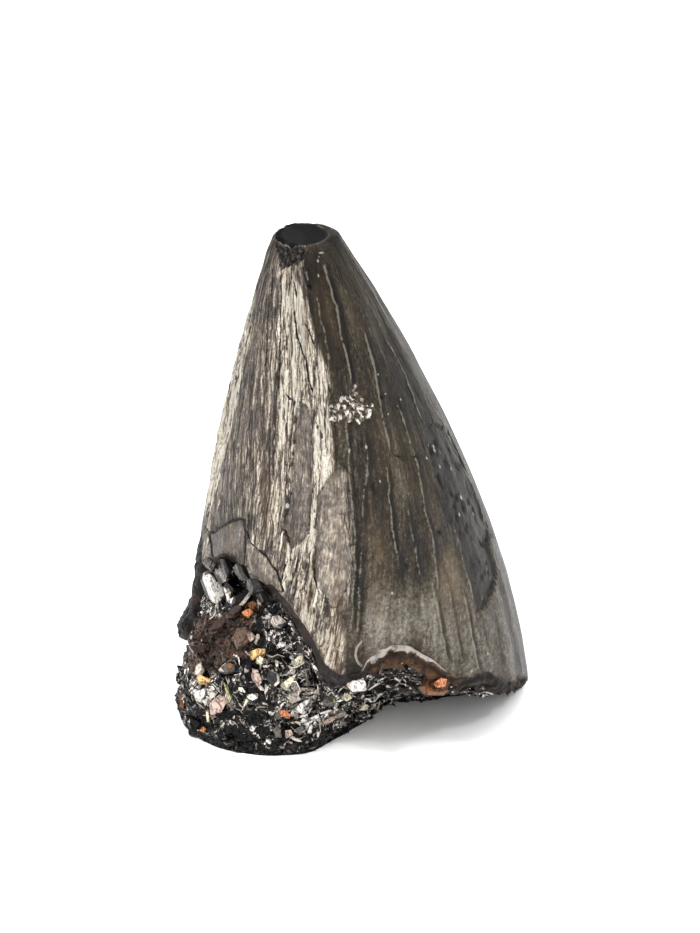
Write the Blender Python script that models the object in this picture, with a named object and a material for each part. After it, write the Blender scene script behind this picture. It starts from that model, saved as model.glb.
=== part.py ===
# A broken reptile tooth standing on its fracture: the hollow enamel crown, and the stony
# filling of its pulp cavity, laid bare where the wall has broken away at the front left.
# Metres, +Z up. The origin is under the middle of the object, on the ground.
# Azimuths are degrees round the crown's axis: 0 faces -Y, 90 faces +X, -90 faces -X.
import math

import bmesh
import bpy

MM = 0.001

# The crown's outer shape
CROWN_HEIGHT = 34.1 * MM
BASE_RADIUS = 11.4 * MM
TIP_RADIUS = 2.05 * MM
TIP_ROUNDING = 0.3 * MM
TAPER_POWER = 1.64
LEAN = -3.36 * MM
LEAN_POWER = 1.5
FOOT_X = 0.39 * MM
FOOT_Y = -0.35 * MM

# The blunt keel that runs down the front
KEEL_AZIMUTH = -10.0
KEEL_WIDTH = 14.0
KEEL_RISE = 0.03

# The swollen foot of the wall at the left, pushed outwards where it cracked
KNOB_AZIMUTH = -98.0
KNOB_WIDTH = 9.0
KNOB_HEIGHT = 4.6 * MM
KNOB_DEPTH = 1.8 * MM
KNOB_RISE = 0.85 * MM

# The hollow inside it
WALL = 0.9 * MM
CAVITY_TOP = 21.0 * MM
CAVITY_ROUNDNESS = 5.0
GAP = 0.3 * MM

# The ragged lower edge: azimuth, height of the enamel's edge in mm, and how far below it
# the inner edge of the sloping fracture lies in mm
BROKEN_EDGE = (
    (-180, 0.0, 0.0),
    (-168, 0.0, 0.0),
    (-160, 1.0, 0.5),
    (-150, 0.3, 0.2),
    (-142, 0.0, 0.0),
    (-126, 0.3, 0.2),
    (-119, 1.4, 0.4),
    (-112, 3.3, 0.6),
    (-97, 3.6, 0.6),
    (-91, 4.8, 0.9),
    (-84, 9.5, 1.2),
    (-78, 11.6, 1.2),
    (-67, 13.0, 1.2),
    (-56, 14.0, 1.2),
    (-42, 13.4, 1.2),
    (-23, 12.6, 2.2),
    (-13, 10.2, 3.0),
    (-8, 8.7, 2.2),
    (0, 8.0, 1.0),
    (10, 9.6, 1.6),
    (20, 9.7, 1.8),
    (28, 8.8, 1.5),
    (39, 6.4, 1.4),
    (52, 6.0, 1.3),
    (60, 4.5, 1.2),
    (72, 3.5, 1.2),
    (82, 2.6, 1.2),
    (92, 1.2, 0.8),
    (100, 0.2, 0.2),
    (108, 0.0, 0.0),
    (136, 0.0, 0.0),
    (148, 0.8, 0.4),
    (158, 0.4, 0.3),
    (166, 0.0, 0.0),
    (180, 0.0, 0.0),
)

# The filling's outline on the ground: azimuth and distance from the crown's axis in mm.
# It runs out past the wall at the front left, and is hollowed back at the front right.
FOOTPRINT = (
    (-180, 9.6),
    (-130, 9.6),
    (-116, 10.2),
    (-104, 11.6),
    (-90, 12.2),
    (-68, 12.0),
    (-55, 11.2),
    (-39, 9.5),
    (-24, 7.6),
    (-17, 5.6),
    (-6, 4.1),
    (12, 2.9),
    (35, 1.8),
    (66, 1.4),
    (84, 2.4),
    (90, 6.0),
    (96, 9.0),
    (104, 9.6),
    (180, 9.6),
)
SWELL_POWER = 1.7  # the bare filling drops steeply to its foot where it bulges
HOLLOW_POWER = 1.4  # and runs back under the wall, steeper near the ground, where it is hollowed
LOWEST_BREAK = 1.5 * MM  # where the filling's slope ends if the wall stands on the ground

SIDES = 96
CROWN_RINGS = 14
CAVITY_RINGS = 7
SLOPE_RINGS = 6

ENAMEL_COLOUR = (0.075, 0.060, 0.045, 1.0)
FILLING_COLOUR = (0.012, 0.011, 0.011, 1.0)


def between(outline, azimuth, column):
    """The value in this column of an outline at an azimuth, on straight runs between its points."""
    for low, high in zip(outline, outline[1:]):
        if low[0] <= azimuth <= high[0]:
            part = (azimuth - low[0]) / (high[0] - low[0])
            return low[column] + part * (high[column] - low[column])
    raise ValueError(f"azimuth {azimuth} is outside the outline")


def crown_radius(height):
    """Outer radius of the crown without its keel, swelling downwards and rounded at the tip."""
    swell = 1 - (height / CROWN_HEIGHT) ** TAPER_POWER
    into_tip = max(0.0, (height - CROWN_HEIGHT) / TIP_ROUNDING + 1)
    rounded_off = TIP_ROUNDING * (1 - math.sqrt(1 - into_tip**2))
    return TIP_RADIUS + (BASE_RADIUS - TIP_RADIUS) * swell - rounded_off


def cavity_radius(height):
    """Radius of the hollow, the wall's thickness in from the crown and domed at its top."""
    dome = math.sqrt(max(0.0, 1 - (height / CAVITY_TOP) ** CAVITY_ROUNDNESS))
    return (crown_radius(height) - WALL) * dome


def bump(value, middle, width):
    """A smooth rise from 0 to 1 and back, over about a width to each side of its middle."""
    return math.exp(-(((value - middle) / width) ** 2))


def outer_radius(azimuth, height):
    """Outer radius of the crown with its keel and its swollen foot."""
    keel = 1 + KEEL_RISE * bump(azimuth, KEEL_AZIMUTH, KEEL_WIDTH)
    knob = bump(azimuth, KNOB_AZIMUTH, KNOB_WIDTH) * bump(height, KNOB_HEIGHT, KNOB_DEPTH)
    return crown_radius(height) * keel + KNOB_RISE * knob


def place(azimuth, height, radius):
    """The point at a radius from the crown's leaning axis."""
    lean = LEAN * (height / CROWN_HEIGHT) ** LEAN_POWER
    turn = math.radians(azimuth)
    return (FOOT_X + lean + radius * math.sin(turn), FOOT_Y - radius * math.cos(turn), height)


def azimuths():
    return [-180 + 360 * i / SIDES for i in range(SIDES)]


def fracture_heights():
    """(outer, inner) heights of the fracture at each azimuth. The inner edge stays above ground."""
    heights = []
    for azimuth in azimuths():
        outer = between(BROKEN_EDGE, azimuth, 1) * MM
        inner = outer - between(BROKEN_EDGE, azimuth, 2) * MM
        heights.append((outer, max(0.0, inner)))
    return heights


def loft(name, rings, first_centre, last_centre):
    """A closed mesh object through rings of equal count, with a fan of triangles at each end."""
    mesh = bmesh.new()
    loops = [[mesh.verts.new(point) for point in ring] for ring in rings]
    for low, high in zip(loops, loops[1:]):
        for i in range(SIDES):
            after = (i + 1) % SIDES
            mesh.faces.new((low[i], low[after], high[after], high[i]))
    for loop, point in ((loops[0], first_centre), (loops[-1], last_centre)):
        centre = mesh.verts.new(point)
        for i in range(SIDES):
            mesh.faces.new((loop[i], loop[(i + 1) % SIDES], centre))
    bmesh.ops.recalc_face_normals(mesh, faces=mesh.faces)
    data = bpy.data.meshes.new(name)
    mesh.to_mesh(data)
    mesh.free()
    data.shade_smooth()
    data.set_sharp_from_angle(angle=math.radians(35))
    return bpy.data.objects.new(name, data)


def crown_body(name):
    """The crown: down the hollow's inside, across the fracture and up the outside to the tip."""
    columns = list(zip(azimuths(), fracture_heights()))
    rings = []
    for step in reversed(range(CAVITY_RINGS)):
        rise = math.sin(math.pi / 2 * step / CAVITY_RINGS)
        ring = []
        for azimuth, (_, inner) in columns:
            height = inner + (CAVITY_TOP - inner) * rise
            ring.append(place(azimuth, height, cavity_radius(height)))
        rings.append(ring)
    for step in range(CROWN_RINGS + 1):
        rise = math.sin(math.pi / 2 * step / CROWN_RINGS)
        ring = []
        for azimuth, (outer, _) in columns:
            height = outer + (CROWN_HEIGHT - outer) * rise
            ring.append(place(azimuth, height, outer_radius(azimuth, height)))
        rings.append(ring)
    return loft(name, rings, place(0, CAVITY_TOP, 0), place(0, CROWN_HEIGHT, 0))


def break_heights():
    """Height at each azimuth where the filling leaves the hollow. It is the lowest inner edge
    there and at the neighbours, less the gap, so steep edges are cleared sideways too."""
    inner = [heights[1] for heights in fracture_heights()]
    lowest = [min(inner[i - 1], inner[i], inner[(i + 1) % SIDES]) for i in range(SIDES)]
    return [max(LOWEST_BREAK, height - GAP) for height in lowest]


def filling_radius_inside(height):
    """Radius of the filling where the wall encloses it."""
    return cavity_radius(height + GAP) - GAP


def filling_body(name):
    """The filling: from its flat foot up the bare slope, then up inside the hollow to its dome."""
    columns = list(zip(azimuths(), break_heights()))
    rings = []
    for step in range(SLOPE_RINGS):
        part = step / SLOPE_RINGS
        ring = []
        for azimuth, leaves in columns:
            foot = between(FOOTPRINT, azimuth, 1) * MM
            inside = filling_radius_inside(leaves)
            power = SWELL_POWER if foot > inside else HOLLOW_POWER
            ring.append(place(azimuth, leaves * part, foot + (inside - foot) * part**power))
        rings.append(ring)
    top = CAVITY_TOP - GAP
    for step in range(CAVITY_RINGS):
        rise = math.sin(math.pi / 2 * step / CAVITY_RINGS)
        ring = []
        for azimuth, leaves in columns:
            height = leaves + (top - leaves) * rise
            ring.append(place(azimuth, height, filling_radius_inside(height)))
        rings.append(ring)
    return loft(name, rings, place(0, 0, 0), place(0, top, 0))


def material(name, colour, roughness):
    made = bpy.data.materials.new(name)
    made.use_nodes = True
    shader = made.node_tree.nodes["Principled BSDF"]
    shader.inputs["Base Color"].default_value = colour
    shader.inputs["Roughness"].default_value = roughness
    shader.inputs["Metallic"].default_value = 0.0
    made.diffuse_color = colour
    return made


def main():
    for obj in list(bpy.data.objects):
        bpy.data.objects.remove(obj, do_unlink=True)
    tooth = bpy.data.collections.new("mosasaur_tooth")
    bpy.context.scene.collection.children.link(tooth)

    crown = crown_body("tooth_crown")
    crown.data.materials.append(material("fossil enamel", ENAMEL_COLOUR, 0.35))
    tooth.objects.link(crown)

    filling = filling_body("cavity_matrix")
    filling.data.materials.append(material("cavity matrix", FILLING_COLOUR, 0.3))
    tooth.objects.link(filling)


main()
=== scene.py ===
import itertools
import math

import bpy
import numpy as np
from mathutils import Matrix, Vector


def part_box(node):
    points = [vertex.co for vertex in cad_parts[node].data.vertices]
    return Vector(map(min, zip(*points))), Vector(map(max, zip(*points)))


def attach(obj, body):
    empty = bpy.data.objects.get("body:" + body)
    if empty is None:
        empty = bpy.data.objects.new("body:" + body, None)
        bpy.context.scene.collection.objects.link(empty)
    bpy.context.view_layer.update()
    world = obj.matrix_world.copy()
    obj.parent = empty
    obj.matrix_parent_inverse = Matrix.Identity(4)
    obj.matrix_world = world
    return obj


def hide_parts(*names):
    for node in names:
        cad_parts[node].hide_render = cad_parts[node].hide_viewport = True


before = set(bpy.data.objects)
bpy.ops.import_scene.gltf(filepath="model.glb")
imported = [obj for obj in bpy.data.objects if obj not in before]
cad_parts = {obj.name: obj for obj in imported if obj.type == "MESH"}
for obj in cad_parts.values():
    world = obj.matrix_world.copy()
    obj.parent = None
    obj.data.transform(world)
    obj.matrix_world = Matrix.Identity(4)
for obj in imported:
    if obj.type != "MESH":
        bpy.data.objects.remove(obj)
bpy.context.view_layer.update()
print("frame loaded")

mm = 0.001


# eased step: 3t^2 - 2t^3, where t is how far the value lies between low and high
def ease(value, low, high):
    t = np.clip((value - low) / (high - low), 0, 1)
    return t * t * (3 - 2 * t)


# bell: e to the power of minus ((value - middle) / width) squared
def bell(value, middle, width):
    return np.exp(-(((value - middle) / width) ** 2))


# one random number 0-1 for each whole-numbered cell: its numbers and the seed, mixed by
# odd multipliers and shifts
def cellRandom(x, y, z, seed):
    mixed = (x * 73856093) ^ (y * 19349663) ^ (z * 83492791) ^ (seed * 40503 + 977)
    for shift, factor in ((15, 2246822519), (13, 3266489917), (16, 1)):
        mixed = mixed & 0xFFFFFFFF
        mixed = ((mixed ^ (mixed >> shift)) * factor) & 0xFFFFFFFF
    return mixed / 4294967296.0


# smooth noise -1 to 1: the random numbers of the eight corners round the point, blended by
# the eased fraction of each coordinate
def noise(x, y, z, seed=0):
    coordinates = np.broadcast_arrays(x, y, z)
    cells = [np.floor(c).astype(np.int64) for c in coordinates]
    parts = [ease(c - cell, 0, 1) for c, cell in zip(coordinates, cells)]
    total = 0
    for corner in itertools.product((0, 1), repeat=3):
        weight = 1
        for step, part in zip(corner, parts):
            weight = weight * (part if step else 1 - part)
        total = total + weight * cellRandom(*(c + s for c, s in zip(cells, corner)), seed)
    return total * 2 - 1


# the coordinates divided by a reach across and a reach upwards, ready for the noise
def over(spot, reach, reachUp):
    x, y, z = spot
    return x / reach, y / reach, z / reachUp


# noise with finer layers: each next one twice as fine and half as strong
def layeredNoise(x, y, z, seed=0, layers=3):
    total = sum(noise(x * 2**k, y * 2**k, z * 2**k, seed + 31 * k) / 2**k for k in range(layers))
    return total / (2 - 0.5 ** (layers - 1))


# broken facets: each point takes the nearest of the jittered cell middles round it. Returns
# that cell's random number, how much further the second nearest is, and the height of a
# plane tilted at random through the middle
def facets(x, y, z, seed=0):
    coordinates = np.broadcast_arrays(x, y, z)
    cells = [np.floor(c).astype(np.int64) for c in coordinates]
    nearest = np.full(coordinates[0].shape, 9.0)
    second = nearest.copy()
    value = np.zeros_like(nearest)
    plane = np.zeros_like(nearest)
    for corner in itertools.product((-1, 0, 1), repeat=3):
        cell = [c + s for c, s in zip(cells, corner)]
        away = [c - (k + cellRandom(*cell, seed + n)) for n, (c, k) in enumerate(zip(coordinates, cell))]
        distance = np.sqrt(sum(a * a for a in away))
        tilt = sum(a * (cellRandom(*cell, seed + 3 + n) * 2 - 1) for n, a in enumerate(away))
        closer = distance < nearest
        second = np.where(closer, nearest, np.minimum(second, distance))
        value = np.where(closer, cellRandom(*cell, seed + 6), value)
        plane = np.where(closer, tilt, plane)
        nearest = np.where(closer, distance, nearest)
    return value, second - nearest, plane


# outward normals of a grid of points: the cross product of the steps along its two
# directions. The columns run round and close up
def gridNormals(points):
    around = np.roll(points, -1, axis=1) - np.roll(points, 1, axis=1)
    along = np.gradient(points, axis=0)
    normals = np.cross(around, along)
    return normals / np.maximum(np.linalg.norm(normals, axis=-1, keepdims=True), 1e-12)


# quads between each row of a closed grid and the next, and fans to a pole at both ends
def wrappedFaces(rows, columns):
    index = np.arange(rows * columns).reshape(rows, columns)
    after = np.roll(index, -1, axis=1)
    quads = np.stack([index[:-1], after[:-1], after[1:], index[1:]], -1).reshape(-1, 4)
    low = np.stack([after[0], index[0], np.full(columns, rows * columns)], -1)
    high = np.stack([index[-1], after[-1], np.full(columns, rows * columns + 1)], -1)
    return [quads, np.concatenate([low, high])]


# a mesh object from points in mm and arrays of faces, put in place by its points alone
def meshObject(name, points, faceArrays, attributes=None, smooth=True):
    mesh = bpy.data.meshes.new(name)
    corners = np.concatenate([faces.reshape(-1) for faces in faceArrays]).astype(np.int32)
    sizes = np.concatenate([np.full(len(faces), faces.shape[1]) for faces in faceArrays])
    starts = np.concatenate([[0], np.cumsum(sizes)[:-1]]).astype(np.int32)
    mesh.vertices.add(len(points))
    mesh.vertices.foreach_set("co", (points * mm).astype(np.float32).ravel())
    mesh.loops.add(len(corners))
    mesh.loops.foreach_set("vertex_index", corners)
    mesh.polygons.add(len(sizes))
    mesh.polygons.foreach_set("loop_start", starts)
    mesh.update(calc_edges=True)
    mesh.validate()
    mesh.polygons.foreach_set("use_smooth", np.full(len(sizes), smooth))
    for key, values in (attributes or {}).items():
        values = np.asarray(values, np.float32)
        if values.ndim == 2:
            mesh.attributes.new(key, "FLOAT_VECTOR", "POINT").data.foreach_set("vector", values.ravel())
        else:
            mesh.attributes.new(key, "FLOAT", "POINT").data.foreach_set("value", values)
    made = bpy.data.objects.new(name, mesh)
    bpy.context.scene.collection.objects.link(made)
    return made


# The crown: its outline as the frame has it, and how fine its grid is
crown = {
    "baseRadius": 11.4,
    "tipRadius": 2.05,
    "tipRounding": 0.3,
    "taperPower": 1.64,
    "lean": -3.36,
    "leanPower": 1.5,
    "footX": 0.39,
    "footY": -0.35,
    "keelAt": -10,
    "keelWidth": 14,
    "keelRise": 0.03,
    "knobAt": -98,
    "knobWidth": 9,
    "knobHeight": 4.6,
    "knobDepth": 1.8,
    "knobRise": 0.85,
    "wall": 0.9,
    "cavityTop": 21,
    "cavityPower": 5,
    "columns": 608,
    "frontStep": 0.46,  # degrees between columns at the front, and behind
    "backStep": 1.0,
    "outerRows": 138,
    "breakRows": 11,
    "innerRows": 6,
    "capRows": 7,
    "frontLeft": -104,  # the front's closer columns reach this far
    "frontRight": 100,
    "chipShare": 0.637,  # how far up the struck chip is, where rows stand closer
    "innerReach": 0.93,  # how far the rows inside reach towards the hollow's top
    "wearShift": 0.33,  # the worn place on the tip: how far left of its middle, and its radius
    "wearRadius": 1.76,
}
crown["height"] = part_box("tooth_crown")[1].z / mm

# the broken lower edge: azimuth, height of the enamel's edge, drop from there to the inner edge
brokenEdge = np.array((
    (-180, 0, 0), (-168, 0, 0), (-160, 1, 0.5), (-150, 0.3, 0.2), (-142, 0, 0), (-126, 0.3, 0.2),
    (-119, 1.4, 0.4), (-112, 3.3, 0.6), (-97, 3.6, 0.6), (-91, 4.8, 0.9), (-84, 9.5, 1.2), (-78, 11.6, 1.2),
    (-68, 12.8, 1.2), (-62, 13.3, 1.2), (-57, 13.9, 1.2), (-50, 14.1, 1.2), (-48, 13.6, 1.2),
    (-44, 13.9, 1.2), (-40, 13.1, 1.3), (-36, 13.3, 1.4), (-29, 13.2, 1.8), (-23, 12.6, 2.2),
    (-17, 11.4, 2.6), (-13, 10.2, 3), (-10, 9, 2.6), (-6, 8.4, 1.9), (-1, 8.1, 1), (3, 8.3, 1.1),
    (6, 9.1, 1.4), (10, 9.6, 1.6), (16, 9.75, 1.7), (21, 9.5, 1.8), (28, 8.5, 1.5), (34, 7.4, 1.4),
    (39, 6.4, 1.4), (45, 6.2, 1.4), (52, 6, 1.3), (60, 4.5, 1.2), (72, 3.5, 1.2), (82, 2.6, 1.2),
    (92, 1.2, 0.8), (100, 0.2, 0.2), (108, 0, 0), (136, 0, 0), (148, 0.8, 0.4), (158, 0.4, 0.3),
    (166, 0, 0), (180, 0, 0),
))


# radius of the crown without its keel: it swells downwards by a power of the height, and a
# quarter circle rounds the tip off
def crownRadius(height):
    share = np.clip(height / crown["height"], 0, 1)
    intoTip = np.clip((height - crown["height"]) / crown["tipRounding"] + 1, 0, 1)
    rounded = crown["tipRounding"] * (1 - np.sqrt(1 - intoTip**2))
    swell = (crown["baseRadius"] - crown["tipRadius"]) * (1 - share ** crown["taperPower"])
    return crown["tipRadius"] + swell - rounded


# radius of the hollow: the wall's thickness in from the crown, domed at the top
def cavityRadius(height):
    share = np.clip(height / crown["cavityTop"], 0, 1)
    return (crownRadius(height) - crown["wall"]) * np.sqrt(1 - share ** crown["cavityPower"])


# outer radius with the keel at the front and the swollen knob at the left
def outerRadius(azimuth, height):
    keel = 1 + crown["keelRise"] * bell(azimuth, crown["keelAt"], crown["keelWidth"])
    knob = bell(azimuth, crown["knobAt"], crown["knobWidth"])
    knob = knob * bell(height, crown["knobHeight"], crown["knobDepth"])
    return crownRadius(height) * keel + crown["knobRise"] * knob


# the point at a radius from the crown's axis, which leans by a power of the height
def place(azimuth, height, radius):
    turn = np.radians(azimuth)
    lean = crown["lean"] * np.clip(height / crown["height"], 0, 1) ** crown["leanPower"]
    x = crown["footX"] + lean + radius * np.sin(turn)
    y = crown["footY"] - radius * np.cos(turn)
    return np.stack(np.broadcast_arrays(x, y, height), -1)


# azimuths set close in front and wider behind: the running total of 1 / step, cut into
# equal shares
def packedAzimuths(count, front, back, left, right):
    fine = np.linspace(-180, 180, 3601)
    inFront = ease(fine, left - 12, left) * (1 - ease(fine, right, right + 12))
    total = np.cumsum(1 / (back + (front - back) * inFront))
    return np.interp(np.arange(count) / count * total[-1], np.concatenate([[0], total[:-1]]), fine)


# value of an outline's column at each azimuth, its corners eased by an average over a few
# degrees to each side
def alongOutline(outline, azimuth, column, soften):
    shifts = np.linspace(-soften, soften, 7)
    wrapped = (azimuth[..., None] + shifts + 180) % 360 - 180
    return np.interp(wrapped, outline[:, 0], outline[:, column]).mean(-1)


# outer and inner height of the fracture at each azimuth, with small bites out of it. Where
# the wall stands on the ground it stays whole
def fractureHeights(azimuth):
    x = crown["baseRadius"] * np.sin(np.radians(azimuth))
    y = crown["baseRadius"] * np.cos(np.radians(azimuth))
    outer = alongOutline(brokenEdge, azimuth, 1, 1.2)
    drop = alongOutline(brokenEdge, azimuth, 2, 2.5)
    free = ease(outer, 0.1, 0.9)
    bites = 0.13 * noise(x / 0.8, y / 0.8, 0, 11) + 0.07 * noise(x / 0.28, y / 0.28, 0, 12)
    innerBites = 0.25 * noise(x / 0.9, y / 0.9, 0, 13) + 0.12 * noise(x / 0.35, y / 0.35, 0, 14)
    outer = np.maximum(outer + bites * free, 0)
    inner = np.maximum(outer - drop * (1 + innerBites), 0)
    return outer, inner


# Long marks that run up the crown, each a list of (height, azimuth), and how far it stands out
ridgeLines = (
    (((33.2, 24.5), (32, 23), (31, 22.4), (30.6, 24.2), (29.8, 22), (29, 20.3), (28, 20.4), (27.2, 20),
        (26.6, 19.2), (26, 18.3)), 1),
    (((29.1, 39.5), (28.6, 41), (28, 41), (27.2, 39.5), (26.5, 38), (26, 37), (25.2, 35.5), (24.6, 34.3),
        (24, 33.6), (23.2, 32.6), (22.4, 32.3), (21.4, 31)), 1),
    (((28, 60), (27, 63), (26.4, 63), (25.8, 64), (25.3, 64.6), (24.8, 63), (24.2, 62.8), (23.4, 61.2),
        (22.4, 61)), 0.8),
    (((24.4, 46.5), (23.6, 47.3), (22.8, 46.5), (22, 46), (21, 46), (20.4, 45.4), (19.6, 44.2),
        (19, 43.6), (18, 42), (17.2, 41), (16.2, 41), (15.4, 40.3), (14.4, 39.3), (13.8, 38.6), (13, 38),
        (12.5, 36.5)), 0.75),
    (((24, 11), (22.8, 9.6), (22, 9), (21, 8), (20, 7.2), (19, 6.6), (18, 6.2), (17, 5.8), (16, 5),
        (15, 4.4), (14, 3.6), (13, 2.4), (12, 1.4), (11, 0.6)), 0.75),
    (((23.4, 18.6), (22.4, 19.4), (21.6, 18.6), (20.6, 17), (19.5, 12.8), (18.6, 11.4), (17.6, 10)), 0.5),
    (((21, 27.2), (19.8, 26.4), (18.8, 24.8), (18, 24), (16.6, 23), (15.4, 23), (14.6, 22.4)), 0.8),
    (((18.3, 33.5), (17.4, 32.4), (16.4, 31.4), (15.6, 31.6), (14.8, 31), (13.6, 31)), 0.6),
    (((13.2, 35.3), (12, 35.2), (10.6, 35.3), (9.6, 35), (8.6, 35), (7.6, 35.6)), 0.85),
    (((14, 41.4), (12.6, 42.4), (11.4, 42), (10.4, 41.6), (9, 41.3), (7.4, 41)), 0.35),
    (((12, 49), (10, 48.6), (9.6, 48.3), (8.4, 48), (7.2, 47.8), (6.4, 48)), 0.9),
    (((16, 55.3), (15, 55), (14.4, 54.4), (13, 53.2), (12, 53.4), (10.6, 53)), 0.7),
    (((9.8, 54.4), (8, 54), (7.2, 53.6)), 0.5), (((18.6, 50.2), (17, 50), (15.4, 49.6)), 0.4),
    (((12.9, 76), (12.2, 78), (11.4, 77.6), (10.8, 79), (10, 78), (9.2, 78.4)), 0.9),
    (((31.5, 5.5), (30.6, 6), (30, 5), (29.2, 7), (28, 6.6), (27, 6)), 0.6),
    (((16.4, 8.3), (15.1, 6.7), (13.7, 5.2), (12.5, 4.6), (10.6, 2.4)), 0.5),
    (((22.2, 80), (20.2, 83.6), (17.7, 84.6), (15.8, 86), (13.4, 83.6), (11.7, 77.3)), 1),
    (((32.9, -4), (32.5, -2.5), (32, -2.4)), 1), (((31.4, -7.5), (30.6, -6.4), (30, -6)), 1),
)

# Grey patches where the outer enamel has flaked off: (height, left azimuth, right azimuth)
flakedPatches = (
    ((25.2, -14, -13), (24.7, -18, -10), (24, -19.3, -9.4), (22, -20, -10), (20.5, -21.3, -10.4),
        (19, -22.4, -11.6), (18, -24, -12.8), (17, -25.5, -14.6), (16.5, -23.6, -17), (16.1, -22, -21)),
    ((21.3, 4, 7), (20.6, -3.5, 7), (19.6, -8, 5.6), (18, -9.8, 3), (17, -10.4, 4), (16.2, -11, 3.2),
        (15.4, -11.6, 4.2), (14.3, -12, 2.2), (13.6, -9.4, 0), (12.6, -6, -3.8)),
)

# The smooth block and wedge that cracks have cut out above the gap
cutBlocks = (
    ((16.7, -52, -46.4), (16.2, -56, -46), (15.6, -61, -45.6), (15, -66, -45.4), (14.4, -71, -45.2),
        (14, -72, -45), (13.4, -69, -45), (12.8, -68, -60)),
    ((15.4, -45, -41), (15.1, -44.6, -36), (14.8, -44, -33), (14.2, -43.6, -29), (13.6, -43, -27),
        (13, -40, -25.4)),
)

# the azimuths that part the two patches and the two blocks
patchSplit = -9.9
blockSplit = -45.2

# The slate-coloured hollow at the right, in the same form
slatePatches = (
    ((22.2, 60, 64), (21.6, 59, 74), (20.6, 56, 84), (19, 54, 86), (17, 52, 85), (15.6, 52.5, 84),
        (13.6, 55, 85), (12.6, 56, 76), (11, 54, 76), (10, 54, 60)),
)

# The struck chip on the right face, and the splintered place under the tip
struckChip = (
    (25.95, 17, 21), (25.5, 13, 23), (25.1, 7, 25), (24.7, 2, 29.5), (24.3, 1, 31), (24, 3, 28),
    (23.75, 14, 26),
)
tipSplinters = (
    (34.1, -70, 6), (33.7, -66, -2), (33.4, -56, -4), (33.1, -50, -16), (32.8, -48, -34), (32.5, -44, -40),
)

# Where the enamel is pale, partly worn and partly painted highlight: the sides of each strip, and how pale
paleAndSheenStrips = (
    (((33.2, -41, -27), (32, -39, -9), (31, -36, -5), (30, -34, -4.5), (29, -33, -2), (28, -32, 1),
        (27, -31, 4), (26, -31, 3), (25.2, -31, 1.5), (24, -30.5, 1), (22.5, -30, 1)), 0.84),
    (((28, -9, 1), (26, -9, 2), (25, -9.2, 1.4), (23, -9.6, 1), (21.4, -9.8, 1), (20.6, -10, -3),
        (20, -10.4, -6), (18.6, -12.6, -8.6), (17, -14.4, -10.4), (15.6, -15.4, -12),
        (14.6, -16, -13.4)), 1),
    (((26, -31, -19), (24, -31, -19), (21, -30, -20.6), (18, -31, -23), (16, -32, -25)), 0.56),
    (((30, -42, -33), (27, -46, -32), (23, -42, -30), (20, -42, -28), (17, -45, -26),
        (14.6, -40, -25)), 0.4),
    (((17, -23, -16), (16, -24, -12), (15, -25.4, -12), (13.4, -25, -11.6), (12.4, -22, -14),
        (11.4, -17, -13)), 0.92),
    (((14.5, -14, -10), (13, -13.5, -4), (11.6, -12.5, -3), (10.4, -12, -2.4), (9, -9, -2)), 0.66),
    (((20.6, -4, 1), (18.6, -3, 3.6), (17, 1, 4.6), (15, 0.6, 4), (13.4, -2, 2)), 0.58),
    (((30.4, -93, -84), (29.6, -98, -78), (28.6, -100, -75), (27.5, -100, -70), (26, -100, -68.5),
        (24, -100, -67), (22, -98, -68), (20, -96, -70), (18, -94, -71), (16, -93, -73),
        (14.6, -92, -77)), 1),
    (((27.5, -9, 6), (26.5, -9, 6), (25.6, 1, 5)), 0.62),
)

# The foot at the left, where bare rough stone covers the enamel: (height, left and right azimuth)
knobSide = (
    (12.4, -96, -80), (10.5, -101, -80), (8, -104, -80), (5, -107, -80), (2, -108, -80), (-1, -108, -80),
)

# the front edge between the left face, paler partly by painted light, and the right face, darker partly by
# painted shade: height, azimuth
frontEdge = np.array((
    (0, -2), (12, -2), (13.5, 2), (15, 4), (17, 4.5), (19, 5.5), (20.8, 7), (21.6, 1.6), (25.4, 1.5),
    (26, 4), (27, 5), (28, 2), (29, -1), (30, -3), (31, -4), (32, -4), (33, -6), (34.1, -6),
))

# How pale the enamel is elsewhere, left of the front edge and right of it: azimuth, height,
# reach in degrees, reach in mm, level
leftLevels = (
    (-80, 32.4, 24, 1.6, 0.2), (-35, 32.8, 9, 0.8, 0.62), (-8, 32.6, 5, 1, 0.1), (-55, 20, 9, 4, 0.3),
    (-35, 19, 8, 4, 0.38), (-48, 27, 9, 5, 0.3), (-72, 13.4, 6, 1, 0.42), (-16, 12, 8, 2, 0.6),
)
rightLevels = (
    (14.5, 16, 2.2, 1.2, 0.52), (46, 12.8, 3.4, 1.2, 0.64), (14, 31, 9, 3, 0.34), (50, 30, 18, 5, 0.2),
    (30, 26, 14, 3, 0.22), (8, 19, 4, 5, 0.42), (28, 18.5, 14, 3, 0.44), (20, 11.4, 17, 1.7, 0.92),
    (62, 7.5, 12, 3.4, 0.48), (42, 9, 12, 3, 0.72), (80, 8, 10, 5, 0.32), (70, 27, 12, 6, 0.26),
    (12, 14.5, 5, 2, 0.55), (46, 20.5, 8, 3, 0.44),
)

# Warmer and golder places on the right face, in the same form
warmLevels = (
    (12, 30, 8, 2.4, 0.5), (32, 21.5, 9, 1.8, 0.4), (15, 16.6, 2.6, 1.9, 1), (14, 14.4, 4, 0.6, 0.8),
    (44, 12.2, 6, 1.4, 1), (47, 20, 6, 2, 0.35), (38, 30, 4, 1, 0.5), (3, 27.6, 2.6, 1.2, 0.5),
    (12, 12.4, 2, 0.9, 0.7), (-15, 9.4, 7, 1.6, 1), (47, 13.6, 3, 0.8, 1), (11, 13, 2, 0.8, 0.8),
)

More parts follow.
